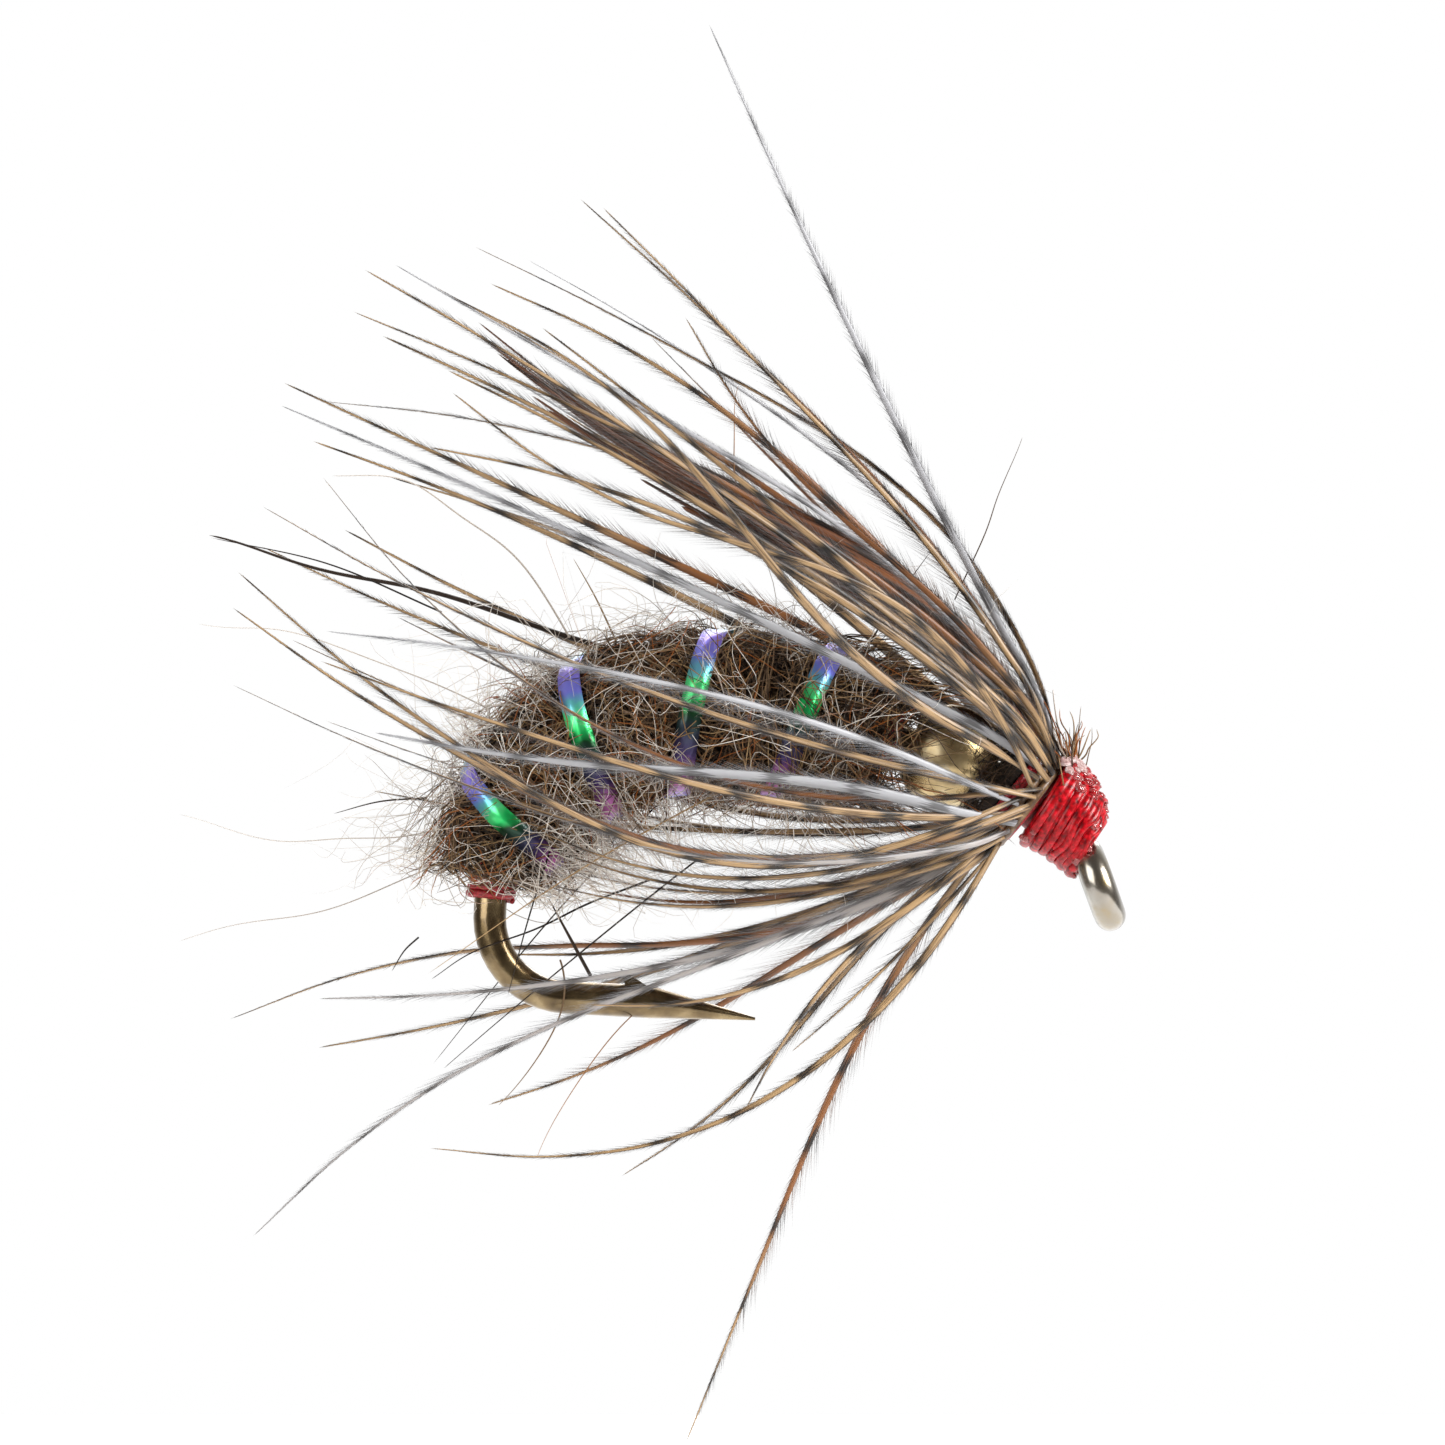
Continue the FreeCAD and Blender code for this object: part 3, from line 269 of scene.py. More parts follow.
def wound_strand(station, clock, radius, thick, flat=0.7):
    """One strand wound round the wire: a closed tube on the points that round_wire gives."""
    line = round_wire(station, clock, radius)[None]
    outward = unit(line - wire_at(station)[0][None])
    size = np.full(line.shape[:2], thick)
    return strands(line, size * flat, size, outward, sides=8, pointed=False)[:2]


TAG_FIRST, TAG_TURNS, TAG_PITCH = 12.03, 4, 0.11
turn = np.linspace(0, TAG_TURNS - 0.5, 150)
points, triangles = wound_strand(
    TAG_FIRST + 0.055 + turn * TAG_PITCH, turn * 2 * np.pi, 0.385 + 0.012 * np.sin(turn * 5.0), 0.062
)
piece("tag_thread", points, triangles, waxed_thread, replaces=("tag_wraps",))

# ---------------------------------------------------------------------------------------------
# Fur. Hare's mask and rabbit underfur, 0.012 to 0.03 mm thick, spun on the thread and wound
# forward: a dense dark core, tan and rust hairs through it, and a pale crimped halo.
BEAD_AT, DAM_END, THORAX_END, ABDOMEN_END = 2.90, 4.13, 6.28, 12.03
BINDING_END = 1.74
TINSEL_FIRST, TINSEL_LAST, TINSEL_PITCH, TINSEL_CLOCK = ABDOMEN_END - 0.30, DAM_END + 0.40, 1.90, np.radians(166)


def fur_radius(station):
    """The wound fur's outside in mm: it swells as a quarter sine behind the bead, and draws in
    as the root of 1 - share^3.2 towards the tag. In front of the bead it is a short collar."""
    swell = np.clip((station - DAM_END) / (THORAX_END - DAM_END), 0, 1)
    front = 1.15 + 0.20 * np.sin(np.pi / 2 * swell)
    share = np.clip((station - THORAX_END) / (ABDOMEN_END - THORAX_END), 0, 1)
    rear = 0.55 + 0.80 * np.sqrt(1 - share**3.2)
    body = np.where(station > THORAX_END, rear, front)
    return np.where(station < BEAD_AT, 0.75, np.where(station < DAM_END, 1.0, body))


def under_tinsel(station, clock):
    """How far along the wire, in mm, each point lies from the middle of the nearest turn of
    tinsel: the remainder of station - first + turns * pitch, taken into +- half a pitch."""
    behind = station - TINSEL_FIRST + (clock - TINSEL_CLOCK) / (2 * np.pi) * TINSEL_PITCH
    return np.abs((behind + TINSEL_PITCH / 2) % TINSEL_PITCH - TINSEL_PITCH / 2)


def fur_core(name, first, last, node, seed):
    """A lumpy closed sleeve: radius 0.8 fur_radius (1 + sum of waves in station and clock), with
    its ends drawn in to the wire."""
    rng = np.random.default_rng(seed)
    s = np.linspace(0, 1, 90)
    clock = np.arange(72) * 2 * np.pi / 72
    station = first + (last - first) * s
    base = 0.80 * fur_radius(station) * np.sqrt(np.clip(1 - (2 * s - 1) ** 12, 0, 1))
    radius = np.repeat(np.maximum(base, 0.34)[:, None], 72, 1)
    for _ in range(14):
        turns, along, phase = rng.integers(1, 7), rng.uniform(2, 14), rng.uniform(0, 7)
        radius *= 1 + 0.022 * np.sin(turns * clock[None] + along * station[:, None] / 1.2 + phase)
    points = round_wire(np.repeat(station[:, None], 72, 1), np.repeat(clock[None], 90, 0), radius)
    ends = wire_at(np.array([first, last]))[0]
    j, k = np.meshgrid(np.arange(89), np.arange(72), indexing="ij")
    a, b = (j * 72 + k).ravel(), (j * 72 + (k + 1) % 72).ravel()
    around = np.arange(72)
    faces = np.concatenate([
        np.stack([a, b + 72, b], 1), np.stack([a, a + 72, b + 72], 1),
        np.stack([np.full(72, 6480), around, (around + 1) % 72], 1),
        np.stack([np.full(72, 6481), 6408 + (around + 1) % 72, 6408 + around], 1),
    ])[:, ::-1]
    points = np.concatenate([points.reshape(-1, 3), ends])
    return piece(name, points, faces, packed_fur, replaces=(node,))


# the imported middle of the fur, seen only between hairs: dark, matt, streaked round the wire
packed_fur, tree, shader = new_material("packed hare fur")
place = add(tree, "ShaderNodeTexCoord").outputs["Object"]
matted = add(tree, "ShaderNodeTexNoise", [("Vector", place)], Scale=9000.0, Detail=6.0, Roughness=0.7)
shade = ramp(tree, matted.outputs["Fac"], [(0.35, "#100A06"), (0.52, "#2A1E14"), (0.70, "#4A3726")])
tree.links.new(shade.outputs["Color"], shader.inputs["Base Color"])
shader.inputs["Roughness"].default_value = 0.9
bump = add(tree, "ShaderNodeBump", [("Height", matted)], Strength=1.0, Distance=0.00006)
tree.links.new(bump.outputs["Normal"], shader.inputs["Normal"])

# single hairs: each takes one shade from the ramp by its place across the map, and pales outwards
loose_fur, tree, shader = new_material("hare and rabbit underfur")
split = add(tree, "ShaderNodeSeparateXYZ", [("Vector", add(tree, "ShaderNodeUVMap", uv_map="OFBake"))])
shade = ramp(tree, split.outputs["X"], [
    (0.00, "#120B07"), (0.14, "#2A1D13"), (0.30, "#4A3828"), (0.44, "#6E5740"), (0.56, "#917652"),
    (0.63, "#80481F"), (0.69, "#A8622A"), (0.74, "#94867A"), (0.87, "#BDB3A8"), (1.00, "#E3DDD4"),
])
paler = add(tree, "ShaderNodeMapRange", [("Value", split.outputs["Y"])], To_Min=0.85, To_Max=1.35)
hair = add(tree, "ShaderNodeVectorMath", [(0, shade.outputs["Color"]), ("Scale", paler)], operation="SCALE")
tree.links.new(hair.outputs["Vector"], shader.inputs["Base Color"])
shader.inputs["Roughness"].default_value = 0.6
shader.inputs["Specular IOR Level"].default_value = 0.25


def fur(name, seed, count, stations, start, length, thick, rise, crimp, shades, stations_each=8, lay=0.55, pressed=True):
    """Thousands of crimped hairs. Each starts at a random station and clock, a share start of
    the way out to fur_radius, and moves t (ds, dc, rise t^1.5) round the wire, where ds and dc
    come from its length and a lay angle shared by its clump, plus crimp sin(2 pi f t + p) along
    two random directions."""
    rng = np.random.default_rng(seed)
    clumps = max(count // 9, 1)
    pick = np.sort(rng.integers(0, clumps, count))
    at = rng.uniform(*stations, clumps)[pick] + rng.normal(0, 0.16, count)
    clock = rng.uniform(0, 2 * np.pi, clumps)[pick] + rng.normal(0, 0.16, count)
    angle = (rng.normal(0, lay, clumps)[pick] + rng.normal(0, 0.35, count))
    way = rng.choice([-1, 1], clumps)[pick]
    at = np.clip(at, *stations)
    long = rng.uniform(*length, count)
    t = np.linspace(0, 1, stations_each)[None]
    lift = rng.uniform(*rise, count)[:, None] * long[:, None]
    radius0 = fur_radius(at) * rng.uniform(*start, count)
    flat = np.sqrt(np.maximum(long[:, None] ** 2 - lift**2, 0.01))
    radius = radius0[:, None] + lift * t**1.5
    turned = clock[:, None] + (way * np.cos(angle))[:, None] * flat * t / np.maximum(radius, 0.5)
    station = at[:, None] + np.sin(angle)[:, None] * flat * t
    beyond = np.maximum(station - ABDOMEN_END, 0)
    station = station - 0.8 * beyond
    radius = radius + 0.06 * np.sin(2 * np.pi * station / 0.8 - turned) * (1 - t)
    if pressed:
        held = (under_tinsel(station, turned) < 0.28) & (station > 6.5) & (station < TINSEL_FIRST)
        held &= (np.arange(count) % 8 > 0)[:, None]
        radius = np.where(held, np.minimum(radius, fur_radius(station) - 0.04), radius)
    lines = round_wire(station, turned, radius)
    for _ in range(2):
        aim = unit(rng.normal(size=(count, 1, 3)))
        waves = rng.uniform(0.3, 1.1, (count, 1)) * long[:, None] / 1.5
        phase = rng.uniform(0, 6.28, (count, 1))
        sway = np.sin(2 * np.pi * waves * t + phase) - np.sin(phase)
        lines = lines + (crimp * rng.uniform(0.3, 1.0, (count, 1)) * sway)[..., None] * aim
    taper = rng.uniform(*thick, count)[:, None] / 2 * (1 - 0.75 * t**2)
    guide = unit(rng.normal(size=(count, 1, 3)))
    points, triangles, line, share, across = strands(lines, taper, taper, guide, sides=3)
    shade = np.clip(rng.choice(shades, count) + rng.uniform(-0.06, 0.06, count), 0.01, 0.99)
    uv = np.stack([shade[line] + 0.004 * across, share], -1)
    return piece(name, points, triangles, loose_fur, uv)


fur_core("thorax_fur_core", DAM_END - 0.1, THORAX_END + 0.2, "thorax_dubbing", 11)
fur_core("abdomen_fur_core", THORAX_END - 0.2, ABDOMEN_END - 0.02, "abdomen_dubbing", 12)
fur_core("collar_fur_core", BINDING_END, 2.05, "collar_dubbing", 13)
DARK, MIXED, PALE = (0.03, 0.1, 0.18, 0.26, 0.36), (0.2, 0.3, 0.4, 0.46, 0.52, 0.57, 0.63), (0.78, 0.85, 0.92, 0.98)
BACK, BODY = (4.1, 6.4), (6.1, 11.8)
fur("thorax_underfur", 21, 2400, BACK, (0.70, 0.98), (0.9, 2.2), (0.020, 0.036), (-0.05, 0.10), 0.06, DARK)
fur("abdomen_underfur", 22, 4200, BODY, (0.70, 0.98), (0.9, 2.2), (0.020, 0.036), (-0.05, 0.10), 0.06, DARK)
fur("thorax_mixed_fur", 23, 1000, BACK, (0.85, 1.04), (1.2, 3.0), (0.018, 0.034), (0.0, 0.30), 0.09, MIXED, 10, 0.8)
fur("abdomen_mixed_fur", 24, 1900, BODY, (0.85, 1.04), (1.2, 3.0), (0.018, 0.034), (0.0, 0.30), 0.09, MIXED, 10, 0.8)
fur("pale_crimped_fur", 25, 620, (4.4, 11.9), (0.85, 1.0), (1.6, 4.6), (0.012, 0.022), (0.15, 0.6), 0.40, PALE, 22)
fur("pale_rump_fur", 27, 560, (9.2, 12.0), (0.85, 1.0), (1.2, 4.0), (0.011, 0.020), (0.3, 0.8), 0.34, PALE, 22)
fur("collar_fur", 26, 420, (1.9, 2.6), (0.8, 1.0), (0.5, 1.1), (0.014, 0.026), (0.0, 0.25), 0.06, DARK)


# ---------------------------------------------------------------------------------------------
# Rib. Flat pearl tinsel, a 0.4 mm wide film of mica-coated polyester, wound over the fur from
# the tag to the bead. Its layers split light into violet, green and magenta bands.
def tinsel_strip():
    """The film's four long edges: middle +- width/2 W and + depth N, where the middle follows
    the fur's outside, N is its normal and W = T x N. v is the clock round the wire in turns."""
    u = np.linspace(0, 1, 520)
    station = TINSEL_FIRST + (TINSEL_LAST - TINSEL_FIRST) * u
    clock = TINSEL_CLOCK + 2 * np.pi * (TINSEL_FIRST - station) / TINSEL_PITCH
    radial = unit(round_wire(station, clock, np.ones_like(u)) - wire_at(station)[0])
    slope = (fur_radius(station + 0.2) - fur_radius(station - 0.2)) / 0.4
    normal = unit(radial - wire_at(station)[1] * slope[:, None])
    middle = wire_at(station)[0] + radial * (fur_radius(station) + 0.06)[:, None]
    middle += normal * (0.012 * np.sin(u * 90) + 0.008 * np.sin(u * 233))[:, None]
    tangent = unit(np.gradient(middle, axis=0))
    wide = unit(np.cross(tangent, normal)) * 0.2
    thick = normal * 0.02
    ring = np.stack([middle - wide, middle + wide, middle + wide + thick, middle - wide + thick], 1)
    j, k = np.meshgrid(np.arange(519), np.arange(4), indexing="ij")
    a, b = (j * 4 + k).ravel(), (j * 4 + (k + 1) % 4).ravel()
    faces = np.concatenate([
        np.stack([a, b, b + 4], 1), np.stack([a, b + 4, a + 4], 1),
        [[0, 2, 1], [0, 3, 2]], 519 * 4 + np.array([[0, 1, 2], [0, 2, 3]]),
    ])[:, ::-1]
    across = np.tile([0.05, 0.95, 0.90, 0.10], 520)
    uv = np.stack([np.repeat(u, 4), across], -1)
    return ring.reshape(-1, 3), faces, uv


# pearl film: bands of interference colour painted round the body by the side they face, not by how light falls: violet
# on top, painted shade in a dark band just below the side facing the camera, and a foil-bright painted green glint on
# that side
pearl_film, tree, shader = new_material("pearl mica film")
split = add(tree, "ShaderNodeSeparateXYZ", [("Vector", add(tree, "ShaderNodeUVMap", uv_map="OFBake"))])
turns = add(tree, "ShaderNodeMath", [(0, split.outputs["X"])], operation="MULTIPLY")
turns.inputs[1].default_value = 3.78
start = add(tree, "ShaderNodeMath", [(0, turns)], operation="ADD")
start.inputs[1].default_value = 166 / 360
clock = add(tree, "ShaderNodeMath", [(0, start)], operation="FRACT")
flake = add(tree, "ShaderNodeTexNoise", [("Vector", add(tree, "ShaderNodeTexCoord").outputs["Object"])], Scale=5000.0, Detail=1.0)
jog = add(tree, "ShaderNodeMath", [(0, flake.outputs["Fac"])], operation="MULTIPLY_ADD")
jog.inputs[1].default_value, jog.inputs[2].default_value = 0.05, -0.025
band = add(tree, "ShaderNodeMath", [(0, clock), (1, jog)], operation="ADD")
# painted reflection and shade: each stop is fixed to a clock round the wire, so the green glint and the dark band stay
# on the same sides under any lamp
painted_glint_bands = ramp(tree, band, [
    (0.00, "#6FA8A0"), (0.15, "#7C78E6"), (0.30, "#46C878"), (0.42, "#D06AA8"), (0.50, "#8FA0E8"),
    (0.58, "#B05A98"), (0.66, "#3A2A5C"), (0.745, "#0E3A1C"), (0.775, "#18C060"), (0.80, "#59E88C"),
    (0.825, "#66B8C8"), (0.86, "#7E86EE"), (0.92, "#9A80E8"), (1.00, "#6FA8A0"),
])
tree.links.new(painted_glint_bands.outputs["Color"], shader.inputs["Base Color"])
shader.inputs["Metallic"].default_value = 0.65
shader.inputs["Roughness"].default_value = 0.30
shader.inputs["Coat Weight"].default_value = 0.3
# painted glow: the film faintly emits its own painted band colours, though it is no lamp
tree.links.new(painted_glint_bands.outputs["Color"], shader.inputs["Emission Color"])
shader.inputs["Emission Strength"].default_value = 0.10
points, triangles, uv = tinsel_strip()
piece("rib_tinsel_film", points, triangles, pearl_film, uv, replaces=("rib_tinsel",))


# ---------------------------------------------------------------------------------------------
# Wing and hackle. Brown partridge and rust-brown body feathers. Each barb is a flattened horny
# shaft fringed on both sides with translucent barbules, barred black where melanin was laid down.


def barb_lines(node, stations):
    """The middle lines and widths of a node's fibres. Vertices are merged by place, fibres are
    found by spreading the lowest vertex number along edges, and each fibre's vertices are put in
    order of their distance along edges from its root, in rings whose means give the line. A
    cubic Hermite curve through the means gives the stations."""
    mesh = nodes[node].data
    co = np.empty(len(mesh.vertices) * 3)
    mesh.vertices.foreach_get("co", co)
    key, same = np.unique(np.round(co.reshape(-1, 3) * 1e8), axis=0, return_inverse=True)
    point = key / 1e8 / MM
    edge = np.empty(len(mesh.edges) * 2, np.int64)
    mesh.edges.foreach_get("vertices", edge)
    a, b = same.ravel()[edge.reshape(-1, 2)].T
    label = np.arange(len(point))
    for _ in range(60):
        np.minimum.at(label, a, label[b])
        np.minimum.at(label, b, label[a])
    collar = wire_at(np.array(1.45))[0]
    reach = np.linalg.norm(point - collar, axis=1)
    far = np.full(len(point), 1e9)
    for fibre in np.unique(label):
        mine = np.flatnonzero(label == fibre)
        far[mine[np.argsort(reach[mine])[:4]]] = 0
    gap = np.linalg.norm(point[a] - point[b], axis=1)
    for _ in range(30):
        np.minimum.at(far, a, far[b] + gap)
        np.minimum.at(far, b, far[a] + gap)
    lines, widths = [], []
    for fibre in np.unique(label):
        mine = np.flatnonzero(label == fibre)
        mine = mine[np.argsort(far[mine])]
        cuts = np.flatnonzero(np.diff(far[mine]) > 0.22) + 1
        rings = [r for r in np.split(mine, cuts) if len(r) >= 3]
        middle = np.array([point[r].mean(0) for r in rings])
        width = np.array([2 * np.linalg.norm(point[r] - point[r].mean(0), axis=1).max() for r in rings])
        run = np.append(0, np.cumsum(np.linalg.norm(np.diff(middle, axis=0), axis=1)))
        slope = np.gradient(middle, run, axis=0)
        s = np.linspace(0, run[-1], stations)
        i = np.clip(np.searchsorted(run, s, side="right") - 1, 0, len(run) - 2)
        h = (run[i + 1] - run[i])[:, None]
        t = ((s - run[i]) / h[:, 0])[:, None]
        line = (2 * t**3 - 3 * t**2 + 1) * middle[i] + (t**3 - 2 * t**2 + t) * h * slope[i]
        line += (3 * t**2 - 2 * t**3) * middle[i + 1] + (t**3 - t**2) * h * slope[i + 1]
        lines.append(line)
        widths.append(np.interp(s, run, width))
    return np.array(lines), np.array(widths)


def barbs(name, node, seed, material, tones, fill=0, fringe=0.52, dense=0.034, spread=(0.15, 0.38), breadth=0.42):
    """A group of barbs. Between each two packed fibres, in order of their tips' angle, fill more
    lie on a straight blend of the two, drooping by a random amount times share^2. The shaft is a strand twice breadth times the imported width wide. Barbules are thin
    four-faced spikes that leave it every dense mm on both sides, at angles in spread radians
    to it, and are fringe mm long times (1 - share^4). The map's u is mm along the barb over 16.
    Its v is a strip for each barb: 0 to 0.6 over the shaft and 0.7 to 1 along a barbule."""
    rng = np.random.default_rng(seed)
    m = 72
    lines, widths = barb_lines(node, m)
    order = np.argsort(np.arctan2(lines[:, -1, 2], -lines[:, -1, 0]))
    lines, widths = lines[order], widths[order]
    share = (np.arange(1, fill + 1) / (fill + 1))[None, :, None, None]
    filled = lines[:-1, None] * (1 - share) + lines[1:, None] * share
    droop = rng.uniform(-0.35, 0.35, (*filled.shape[:2], 1, 3)) * (np.linspace(0, 1, m) ** 2)[:, None]
    lines = np.concatenate([lines, (filled + droop).reshape(-1, m, 3)])
    widths = np.concatenate([widths, np.repeat(widths[:-1], fill, axis=0)])
    n = len(lines)
    tone = np.resize(np.array(tones, float), n)
    length = np.linalg.norm(np.diff(lines, axis=1), axis=2).sum(1)
    s = np.linspace(0, 1, m)[None]
    roll = rng.uniform(-0.7, 0.7, n)[:, None] + rng.uniform(-1.2, 1.2, n)[:, None] * s
    tangent = unit(np.gradient(lines, axis=1))
    flat = unit(np.cross(ACROSS, tangent))
    deep = np.cross(tangent, flat)
    plane = flat * np.cos(roll)[..., None] + deep * np.sin(roll)[..., None]
    wide = widths * breadth * rng.uniform(0.75, 1.2, n)[:, None]
    points, triangles, line, share, across = strands(lines, wide, wide * 0.5, plane, sides=8)
    strip = (line + 0.3 + 0.28 * across) / n
    uv = np.stack([share * length[line] / 16, strip], -1)
    shade, edge = tone[line], 0.3 + 0.28 * across

    # barbules
    each = int(length.max() / dense)
    at = (np.arange(each)[None, :, None] + rng.uniform(-0.4, 0.4, (n, each, 2))) * dense
    shares = at / length[:, None, None]
    fibre, _, side = np.indices(shares.shape)
    fits = (shares > 0.02) & (shares < 0.995)
    fibre, side, shares = fibre[fits], side[fits] * 2 - 1, shares[fits]
    count = len(fibre)
    spot = shares * (m - 1)
    i = np.clip(spot.astype(int), 0, m - 2)
    f = (spot - i)[:, None]

    def between(values):
        return values[fibre, i] * (1 - f) + values[fibre, i + 1] * f

    root, along, over = between(lines), unit(between(tangent)), unit(between(plane))
    thick = unit(np.cross(along, over))
    lean = rng.uniform(*spread, count) * (0.7 + 0.6 * rng.random(n)[fibre])
    tilt = rng.normal(0, 0.22, count)
    aim = along * np.cos(lean)[:, None] + (over * np.cos(tilt)[:, None] * side[:, None] + thick * np.sin(tilt)[:, None]) * np.sin(lean)[:, None]
    size = fringe * rng.uniform(0.75, 1.1, count) * (0.55 + 1.1 * rng.random((n, 2)) ** 2)[fibre, (side + 1) // 2]
    size *= (1 - shares**4) * np.clip(shares * 6, 0.25, 1)
    root = root + over * (side * between(wide[..., None])[:, 0] * 0.7)[:, None]
    foot = 0.0095 * rng.uniform(0.8, 1.3, count)[:, None]
    spike = np.stack([root - along * foot, root + along * foot, root + thick * foot * 0.7, root + aim * size[:, None]], 1)
    base = np.arange(count)[:, None, None] * 4
    corners = np.array([[0, 2, 1], [0, 1, 3], [1, 2, 3], [2, 0, 3]])
    flip = np.array([[0, 1, 2], [0, 3, 1], [1, 3, 2], [2, 3, 0]])
    spikes = np.where((side > 0)[:, None, None], flip, corners) + base
    place = shares * length[fibre] / 16
    step = 0.0016
    spike_u = np.stack([place - step, place + step, place, place + size * 0.9 / 16], 1)
    spike_v = (fibre[:, None] + np.array([[0.70, 0.70, 0.74, 0.98]])) / n
    points = np.concatenate([points, spike.reshape(-1, 3)])
    triangles = np.concatenate([triangles, spikes.reshape(-1, 3) + len(uv)])
    uv = np.concatenate([uv, np.stack([spike_u, spike_v], -1).reshape(-1, 2)])
    shade = np.append(shade, np.repeat(tone[fibre], 4))
    whole = piece(name, points, triangles, material, uv, replaces=(node,))
    number = np.append(line, np.repeat(fibre, 4)).astype(np.float32)
    edge = np.append(edge, np.tile([0.70, 0.70, 0.74, 0.98], count))
    for label, values in (("tone", shade), ("number", number), ("across", edge)):
        kept = whole.data.attributes.new(label, "FLOAT", "POINT")
        kept.data.foreach_set("value", values.astype(np.float32))
    return whole


def feather_material(name, straw, edge, middle, bar, tip, bars):
    """A barred barb: u in mm along it drives the bars, and v the change from shaft to barbule."""
    material, tree, shader = new_material(name)
    split = add(tree, "ShaderNodeSeparateXYZ", [("Vector", add(tree, "ShaderNodeUVMap", uv_map="OFBake"))])
    number = add(tree, "ShaderNodeAttribute", attribute_name="number").outputs["Fac"]
    tone = add(tree, "ShaderNodeAttribute", attribute_name="tone").outputs["Fac"]
    own = add(tree, "ShaderNodeTexWhiteNoise", [("W", number)], noise_dimensions="1D")

    def maths(kind, a, b, c=0.0, clamp=False):
        links = [(i, v) for i, v in enumerate((a, b, c)) if not isinstance(v, (int, float))]
        node = add(tree, "ShaderNodeMath", links, operation=kind, use_clamp=clamp)
        for i, v in enumerate((a, b, c)):
            if isinstance(v, (int, float)):
                node.inputs[i].default_value = v
        return node.outputs[0]

    along = maths("MULTIPLY", split.outputs["X"], 16.0)
    strip = add(tree, "ShaderNodeAttribute", attribute_name="across").outputs["Fac"]
    grain_place = add(tree, "ShaderNodeCombineXYZ", [("X", maths("MULTIPLY", along, 0.9)), ("Y", maths("MULTIPLY", strip, 9.0)), ("Z", number)])
    grain = add(tree, "ShaderNodeTexNoise", [("Vector", grain_place)], Scale=1.6, Detail=4.0).outputs["Fac"]
    beat = maths("MULTIPLY_ADD", own.outputs["Value"], 1.2, bars)
    phase = maths("MULTIPLY_ADD", own.outputs["Value"], 7.0, maths("MULTIPLY", grain, 6.0))
    wave = maths("SINE", maths("MULTIPLY_ADD", along, beat, phase), 0.0)
    wave = maths("MULTIPLY_ADD", grain, 1.5, maths("MULTIPLY_ADD", wave, 0.8, -0.85))
    barred = ramp(tree, wave, [(0.12, "#000000"), (0.60, "#FFFFFF")]).outputs["Color"]
    # painted shade: the shaft takes the edge colour along both its edges, standing in for the dark rims of a backlit
    # fibre; the streaks are the barb's own tone in the same colour
    painted_edge_shade = ramp(tree, strip, [(0.03, "#FFFFFF"), (0.13, "#202020"), (0.47, "#202020"), (0.57, "#FFFFFF")])
    streaks = ramp(tree, grain, [(0.34, "#FFFFFF"), (0.50, "#000000"), (0.60, "#000000"), (0.80, "#C0C0C0")])
    streaks_and_edge_shade = maths("MAXIMUM", painted_edge_shade.outputs["Color"], streaks.outputs["Color"])
    horn = add(tree, "ShaderNodeMix", [(0, streaks_and_edge_shade)], data_type="RGBA")
    horn.inputs[6].default_value, horn.inputs[7].default_value = linear(straw), linear(edge)
    ground = horn.outputs[2]
    warm = maths("MULTIPLY", maths("GREATER_THAN", tone, 0.55), ramp(tree, split.outputs["X"], [(0.05, "#000000"), (0.2, "#FFFFFF"), (0.45, "#FFFFFF"), (0.62, "#000000")]).outputs["Color"])
    mixed = add(tree, "ShaderNodeMix", [(0, warm), (6, ground)], data_type="RGBA")
    mixed.inputs[7].default_value = linear(middle)
    light = add(tree, "ShaderNodeMix", [(0, ramp(tree, tone, [(0.15, "#FFFFFF"), (0.35, "#000000")]).outputs["Color"]), (6, mixed.outputs[2])], data_type="RGBA")
    light.inputs[7].default_value = linear(tip)
    dark = add(tree, "ShaderNodeMix", [(0, maths("MULTIPLY", barred, maths("MULTIPLY_ADD", tone, 0.9, 0.62, clamp=True))), (6, light.outputs[2])], data_type="RGBA")
    dark.inputs[7].default_value = linear(bar)
    # barbules fade towards the tip colour along their length; for the hackle this pale grey is partly the barbules' own
    # grey and partly painted backlight standing in for their translucency
    fade = ramp(tree, strip, [(0.68, "#000000"), (0.80, "#808080"), (0.95, "#FFFFFF")]).outputs["Color"]
    final = add(tree, "ShaderNodeMix", [(0, maths("MULTIPLY", fade, 0.85)), (6, dark.outputs[2])], data_type="RGBA")
    final.inputs[7].default_value = linear(tip)
    tree.links.new(final.outputs[2], shader.inputs["Base Color"])
    shader.inputs["Roughness"].default_value = 0.42
    shader.inputs["Sheen Weight"].default_value = 0.15
    return material


# brown partridge hackle: straw shafts with painted shade along their edges, black bars, and grey barbules paled towards
# their tips partly by painted backlight
hackle_barb = feather_material(
    "barred partridge hackle", "#A78860", "#46301D", "#7A4A20", "#0D0805", "#A3A3A6", 3.6
)
# wing: rust brown barbs, dark towards the root
wing_barb = feather_material(
    "rust brown wing barb", "#6A3A14", "#2A1507", "#74400F", "#120A05", "#6E3E1A", 2.4
)

hackle_parts = (
    ("hackle_crown", 31, (0.6, 0.45, 0.12)),
    ("hackle_upper_near", 32, (0.1, 0.5, 0.5, 0.6, 0.5, 0.45)),
    ("hackle_upper_far", 33, (0.5, 0.8, 0.8, 0.8, 0.5, 0.1)),
    ("hackle_flank_near", 34, (0.1, 0.5, 0.45, 0.6)),
    ("hackle_flank_far", 35, (0.5, 0.6, 0.4)),
    ("hackle_throat_near", 36, (0.5, 0.4, 0.2)),
    ("hackle_throat_far", 37, (0.6, 0.4)),
)
for node, seed, tones in hackle_parts:
    barbs(node + "_barbs", node, seed, hackle_barb, tones)
barbs("wing_barbs", "wing_fibres", 38, wing_barb, (0.5, 0.7, 0.5), 3, 0.40, 0.028, (0.3, 0.6), 0.72)

